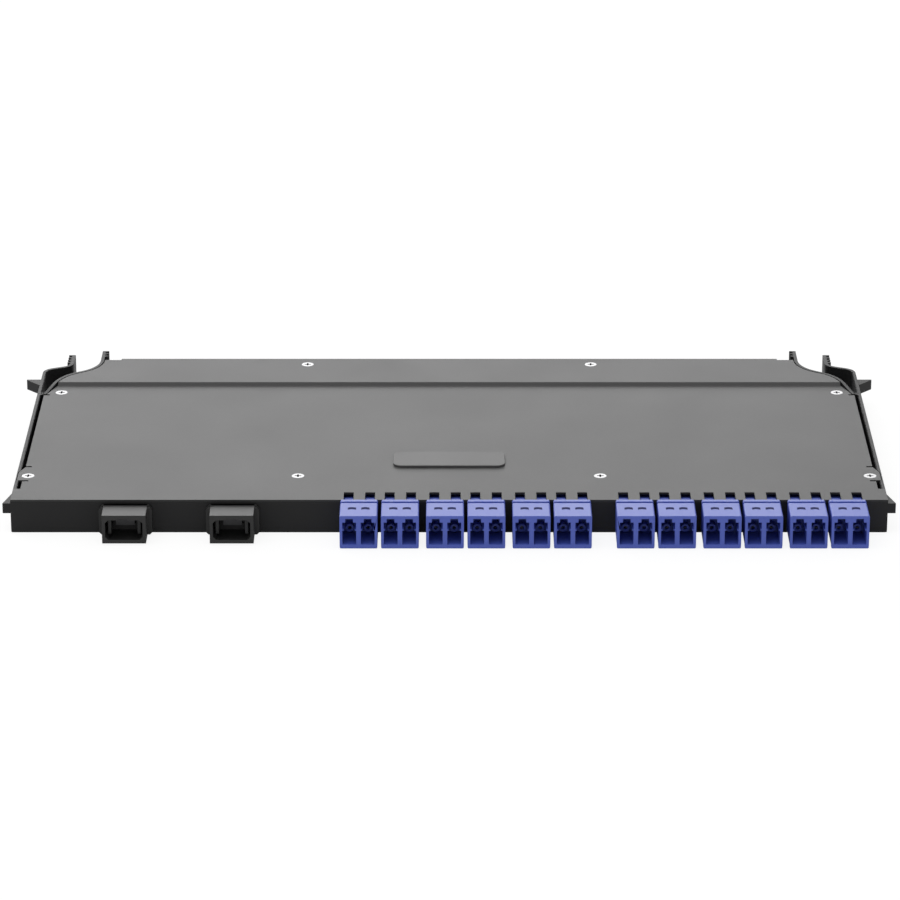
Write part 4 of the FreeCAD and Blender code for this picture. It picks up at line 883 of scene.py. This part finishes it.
@dataclass
class AdapterBank:
    """The duplex and multi-fibre adapters along the front panel."""

    nodes: dict[str, bpy.types.Object]
    duplex_count: int = 12
    multi_letters: str = "ab"
    duplex_edge: float = 0.12 * MM
    duplex_corner: float = 0.45 * MM
    corner_height: float = 1.5 * MM
    chin_slope: float = 0.9 * MM
    chin_deep: float = 1.2 * MM
    multi_edge: float = 0.10 * MM
    port_spread: float = 3.125 * MM
    holder_radius: float = 1.45 * MM
    holder_mouth: float = 0.66 * MM
    holder_lip: float = 1.4 * MM
    holder_play: float = 0.05 * MM
    holder_sides: int = 32
    roof_rise: float = 0.45 * MM
    roof_sink: float = 0.8 * MM
    roof_narrow: float = 1.6 * MM
    ear_narrow: float = 0.95 * MM
    ear_long: float = 1.3 * MM
    seat_gap: float = 0.05 * MM
    label_reach: float = 1.0 * MM
    mark_steps: int = 10
    mark_wide: float = 2.8 * MM
    mark_deep: float = 1.8 * MM
    mark_proud: float = 0.04 * MM
    mark_spread: float = 2.28 * MM
    mark_back: float = 6.9 * MM
    mark_arch: float = 0.5 * MM

    def build(self) -> list[bpy.types.Object]:
        """Makes every adapter.

        Returns:
            The finished adapters and marks.
        """
        made = []
        for number in range(1, self.duplex_count + 1):
            made += self._duplex(number)
        for letter in self.multi_letters:
            made.append(self._multi(letter))
        return made

    def _duplex(self, number: int) -> list[bpy.types.Object]:
        """One duplex adapter with its two dark strips of painted recess shade.

        Args:
            number: The adapter's number from the left.

        Returns:
            The adapter and its marks.
        """
        node = f"lc_adapter_{number:02d}"
        shell = Bench.soften(
            self.nodes[node], f"duplex_shell_{number:02d}", self.duplex_edge, self.duplex_corner,
            self.corner_height)
        parts = [self._chin(node).build()] + [self._holder(node, side) for side in Side]
        piece = Bench.join(shell, parts, f"duplex_adapter_{number:02d}")
        BLUE_MOULDING.dress(piece)
        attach(piece, ROOT_BODY)
        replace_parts(piece, node)
        return [piece, self._marks(number, node)]

    def _chin(self, node: str) -> Fill:
        """The crisp lower edge of a duplex adapter's face, between its sloped corners.

        Args:
            node: The adapter's construction piece.

        Returns:
            The block that makes it.
        """
        low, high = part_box(node)
        return Fill(
            low, Vector((high.x, low.y + self.chin_deep, low.z + self.chin_deep)), self.duplex_edge,
            self.chin_slope)

    def _holder(self, node: str, side: Side) -> bpy.types.Object:
        """The round holder in a port, which keeps a ceramic sleeve behind its narrow mouth.

        Args:
            node: The adapter's construction piece.
            side: The port's side of the adapter.

        Returns:
            The holder, which starts inside the adapter's web.
        """
        low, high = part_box(node)
        sleeve_low, sleeve_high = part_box("alignment_sleeves")
        wall = (sleeve_high.z - sleeve_low.z) / 2 + self.holder_play
        seat = (sleeve_high.y - sleeve_low.y) / 2 + self.holder_play
        front = seat + self.holder_lip
        outer = self.holder_radius
        mouth = self.holder_mouth
        holder = Bench.turned(
            f"{node}_{side.word}_holder",
            [
                (wall, 0.0), (outer, 0.0), (outer, front - self.duplex_edge),
                (outer - self.duplex_edge, front), (mouth + self.duplex_edge, front),
                (mouth, front - self.duplex_edge), (mouth, seat), (wall, seat), (wall, 0.0),
            ],
            self.holder_sides)
        holder.rotation_euler.x = QUARTER_TURN
        holder.location = (
            (low.x + high.x) / 2 + side.value * self.port_spread, (sleeve_low.y + sleeve_high.y) / 2,
            (sleeve_low.z + sleeve_high.z) / 2)
        Bench.settle(holder, holder.name)
        Bench.smooth(holder)
        return holder

    def _marks(self, number: int, node: str) -> bpy.types.Object:
        """Two small arched dark strips, a little proud of the adapter's top, which paint the shade of two
        shallow recesses.

        Args:
            number: The adapter's number.
            node: Its construction piece.

        Returns:
            The marks as one piece.
        """
        low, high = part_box(node)
        middle = (low.x + high.x) / 2
        top = self._label_height(node)
        strips = []
        for side in Side:
            centre = middle + side.value * self.mark_spread
            Bench.clear()
            bpy.ops.mesh.primitive_grid_add(x_subdivisions=self.mark_steps, y_subdivisions=1, size=1.0)
            strip = bpy.context.object
            strip.scale = (self.mark_wide, self.mark_deep, 1.0)
            strip.location = (centre, low.y + self.mark_back, top)
            Bench.settle(strip, f"mark_{number:02d}_{side.word}")
            for vertex in strip.data.vertices:
                reach = (vertex.co.x - centre) / (self.mark_wide / 2)
                vertex.co.y += self.mark_arch * (1.0 - reach * reach)
            Bench.apply(strip, "SOLIDIFY", "mark_height", thickness=2 * self.mark_proud, offset=0.0)
            strips.append(strip)
        *others, last = strips
        piece = Bench.join(last, others, f"adapter_marks_{number:02d}")
        BLUE_RECESS_SHADE.dress(piece)
        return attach(piece, ROOT_BODY)

    def _label_height(self, node: str) -> float:
        """Height of the flat top in front of the flange band.

        Args:
            node: The adapter's construction piece.

        Returns:
            Its Z.
        """
        low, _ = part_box(node)
        front = low.y + self.label_reach
        return max(corner.co.z for corner in self.nodes[node].data.vertices if corner.co.y < front)

    def _multi(self, letter: str) -> bpy.types.Object:
        """One multi-fibre adapter.

        Args:
            letter: The adapter's letter.

        Returns:
            The finished adapter.
        """
        node = f"mpo_adapter_{letter}"
        shell = Bench.soften(self.nodes[node], f"multi_shell_{letter}", self.multi_edge)
        parts = [fill.build() for fill in self._roof(node)]
        piece = Bench.join(shell, parts, f"multi_adapter_{letter}")
        BLACK_ADAPTER.dress(piece)
        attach(piece, ROOT_BODY)
        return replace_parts(piece, node)

    def _roof(self, node: str) -> tuple[Fill, ...]:
        """The raised top of a multi-fibre adapter, with an ear on each side at the panel.

        Args:
            node: The adapter's construction piece.

        Returns:
            The roof and the bar that makes the ears.
        """
        low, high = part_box(node)
        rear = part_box("base_tray")[0].y - self.seat_gap
        plan = ((self.roof_narrow, low.y), (self.ear_narrow, rear - self.ear_long))
        return tuple(
            Fill(
                Vector((low.x + narrow, front, high.z - self.roof_sink)),
                Vector((high.x - narrow, rear, high.z + self.roof_rise)), self.multi_edge)
            for narrow, front in plan)


@dataclass
class ScrewSet:
    """The countersunk screws that hold the cover."""

    nodes: dict[str, bpy.types.Object]
    sides: int = 48
    rim: float = 0.08 * MM
    head_deep: float = 0.9 * MM
    shank_radius: float = 0.9 * MM
    cross_long: float = 2.9 * MM
    cross_wide: float = 0.75 * MM
    cross_deep: float = 0.75 * MM
    cross_taper: float = 0.6
    reach: float = 6.0 * MM

    def build(self) -> list[bpy.types.Object]:
        """Makes one screw at each place of the construction group.

        Returns:
            The finished screws.
        """
        made = []
        for number, (top, head, length) in enumerate(self._find_places(), start=1):
            made.append(self._screw(number, top, head, length))
        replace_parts(made[0], "cover_screws")
        return made

    def _find_places(self) -> list[tuple[Vector, float, float]]:
        """Reads each screw's place and size from the construction group.

        Returns:
            The middle of the head's top, the head's radius and the length of each screw.
        """
        piles: list[list[Vector]] = []
        for vertex in self.nodes["cover_screws"].data.vertices:
            for pile in piles:
                if (pile[0].xy - vertex.co.xy).length < self.reach:
                    pile.append(vertex.co)
                    break
            else:
                piles.append([vertex.co])
        places = []
        for pile in piles:
            xs = [point.x for point in pile]
            ys = [point.y for point in pile]
            zs = [point.z for point in pile]
            top = Vector(((min(xs) + max(xs)) / 2, (min(ys) + max(ys)) / 2, max(zs)))
            places.append((top, (max(xs) - min(xs)) / 2, max(zs) - min(zs)))
        return places

    def _screw(self, number: int, top: Vector, head: float, length: float) -> bpy.types.Object:
        """One screw: a turned head with a flat shank and a cross recess.

        Args:
            number: The screw's number.
            top: The middle of its head's top.
            head: The head's radius.
            length: Its whole length.

        Returns:
            The finished screw.
        """
        screw = Bench.turned(
            f"cover_screw_{number}",
            [
                (0.0, 0.0), (head - self.rim, 0.0), (head, -self.rim), (self.shank_radius, -self.head_deep),
                (self.shank_radius, self.rim - length), (self.shank_radius - self.rim, -length),
                (0.0, -length),
            ],
            self.sides)
        SCREW_PLATING.dress(screw)
        screw.location = top
        Bench.settle(screw, screw.name)
        for turn in (0.0, QUARTER_TURN):
            self._cut_cross(screw, top, turn)
        Bench.smooth(screw)
        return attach(screw, ROOT_BODY)

    def _cut_cross(self, screw: bpy.types.Object, top: Vector, turn: float) -> None:
        """Cuts one arm of the cross recess with a tapered cutter, and paints shade into the cut with a dark
        copy of the plating.

        Args:
            screw: The screw.
            top: The middle of its head's top.
            turn: The arm's turn round the screw.
        """
        half = Vector((self.cross_long / 2, self.cross_wide / 2, self.cross_deep))
        arm = Bench.block("cross_arm", (-half, half))
        for vertex in arm.data.vertices:
            if vertex.co.z < 0.0:
                vertex.co.xy *= self.cross_taper
        arm.data.transform(Matrix.Translation(top) @ Matrix.Rotation(turn, 4, "Z"))
        # Painted shade: the cut faces take the dark copy of the plating.
        arm.data.materials.append(SCREW_RECESS_SHADE.material())
        Bench.cut(screw, arm, material_mode="TRANSFER")


@dataclass
class Inside:
    """What the closed case holds: sleeves, plugs, ribbons, bundles and formers."""

    nodes: dict[str, bpy.types.Object]

    def build(self) -> list[bpy.types.Object]:
        """Gives each inner piece its finish.

        Returns:
            The dressed pieces.
        """
        plan = (
            ("alignment_sleeves", SHADED_SLEEVE_CERAMIC), ("lc_plug_pair", BLUE_PLUG), ("mpo_plug", BLACK_PLUG),
            ("mpo_ferrule", GREY_FERRULE), ("fanout_block", BLACK_PLUG), ("ribbon_lead", FIBRE_JACKET),
            ("fibre_harness", FIBRE_JACKET), ("bend_former", BLACK_MOULDING),
        )
        made = []
        for name, node in sorted(self.nodes.items()):
            for start, finish in plan:
                if name.startswith(start):
                    made.append(finish.dress(node))
        return made


def main() -> None:
    """Builds the studio and every part of the cassette, in order."""
    logging.basicConfig(level=logging.INFO, format="%(name)s: %(message)s")
    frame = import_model()
    Studio().build()
    nodes = frame["nodes"]
    for part in (Case(nodes), Latches(nodes), AdapterBank(nodes), ScrewSet(nodes), Inside(nodes)):
        for piece in part.build():
            LOG.info("%s: %s has %d faces", type(part).__name__, piece.name, len(piece.data.polygons))


if __name__ == "__main__":
    main()
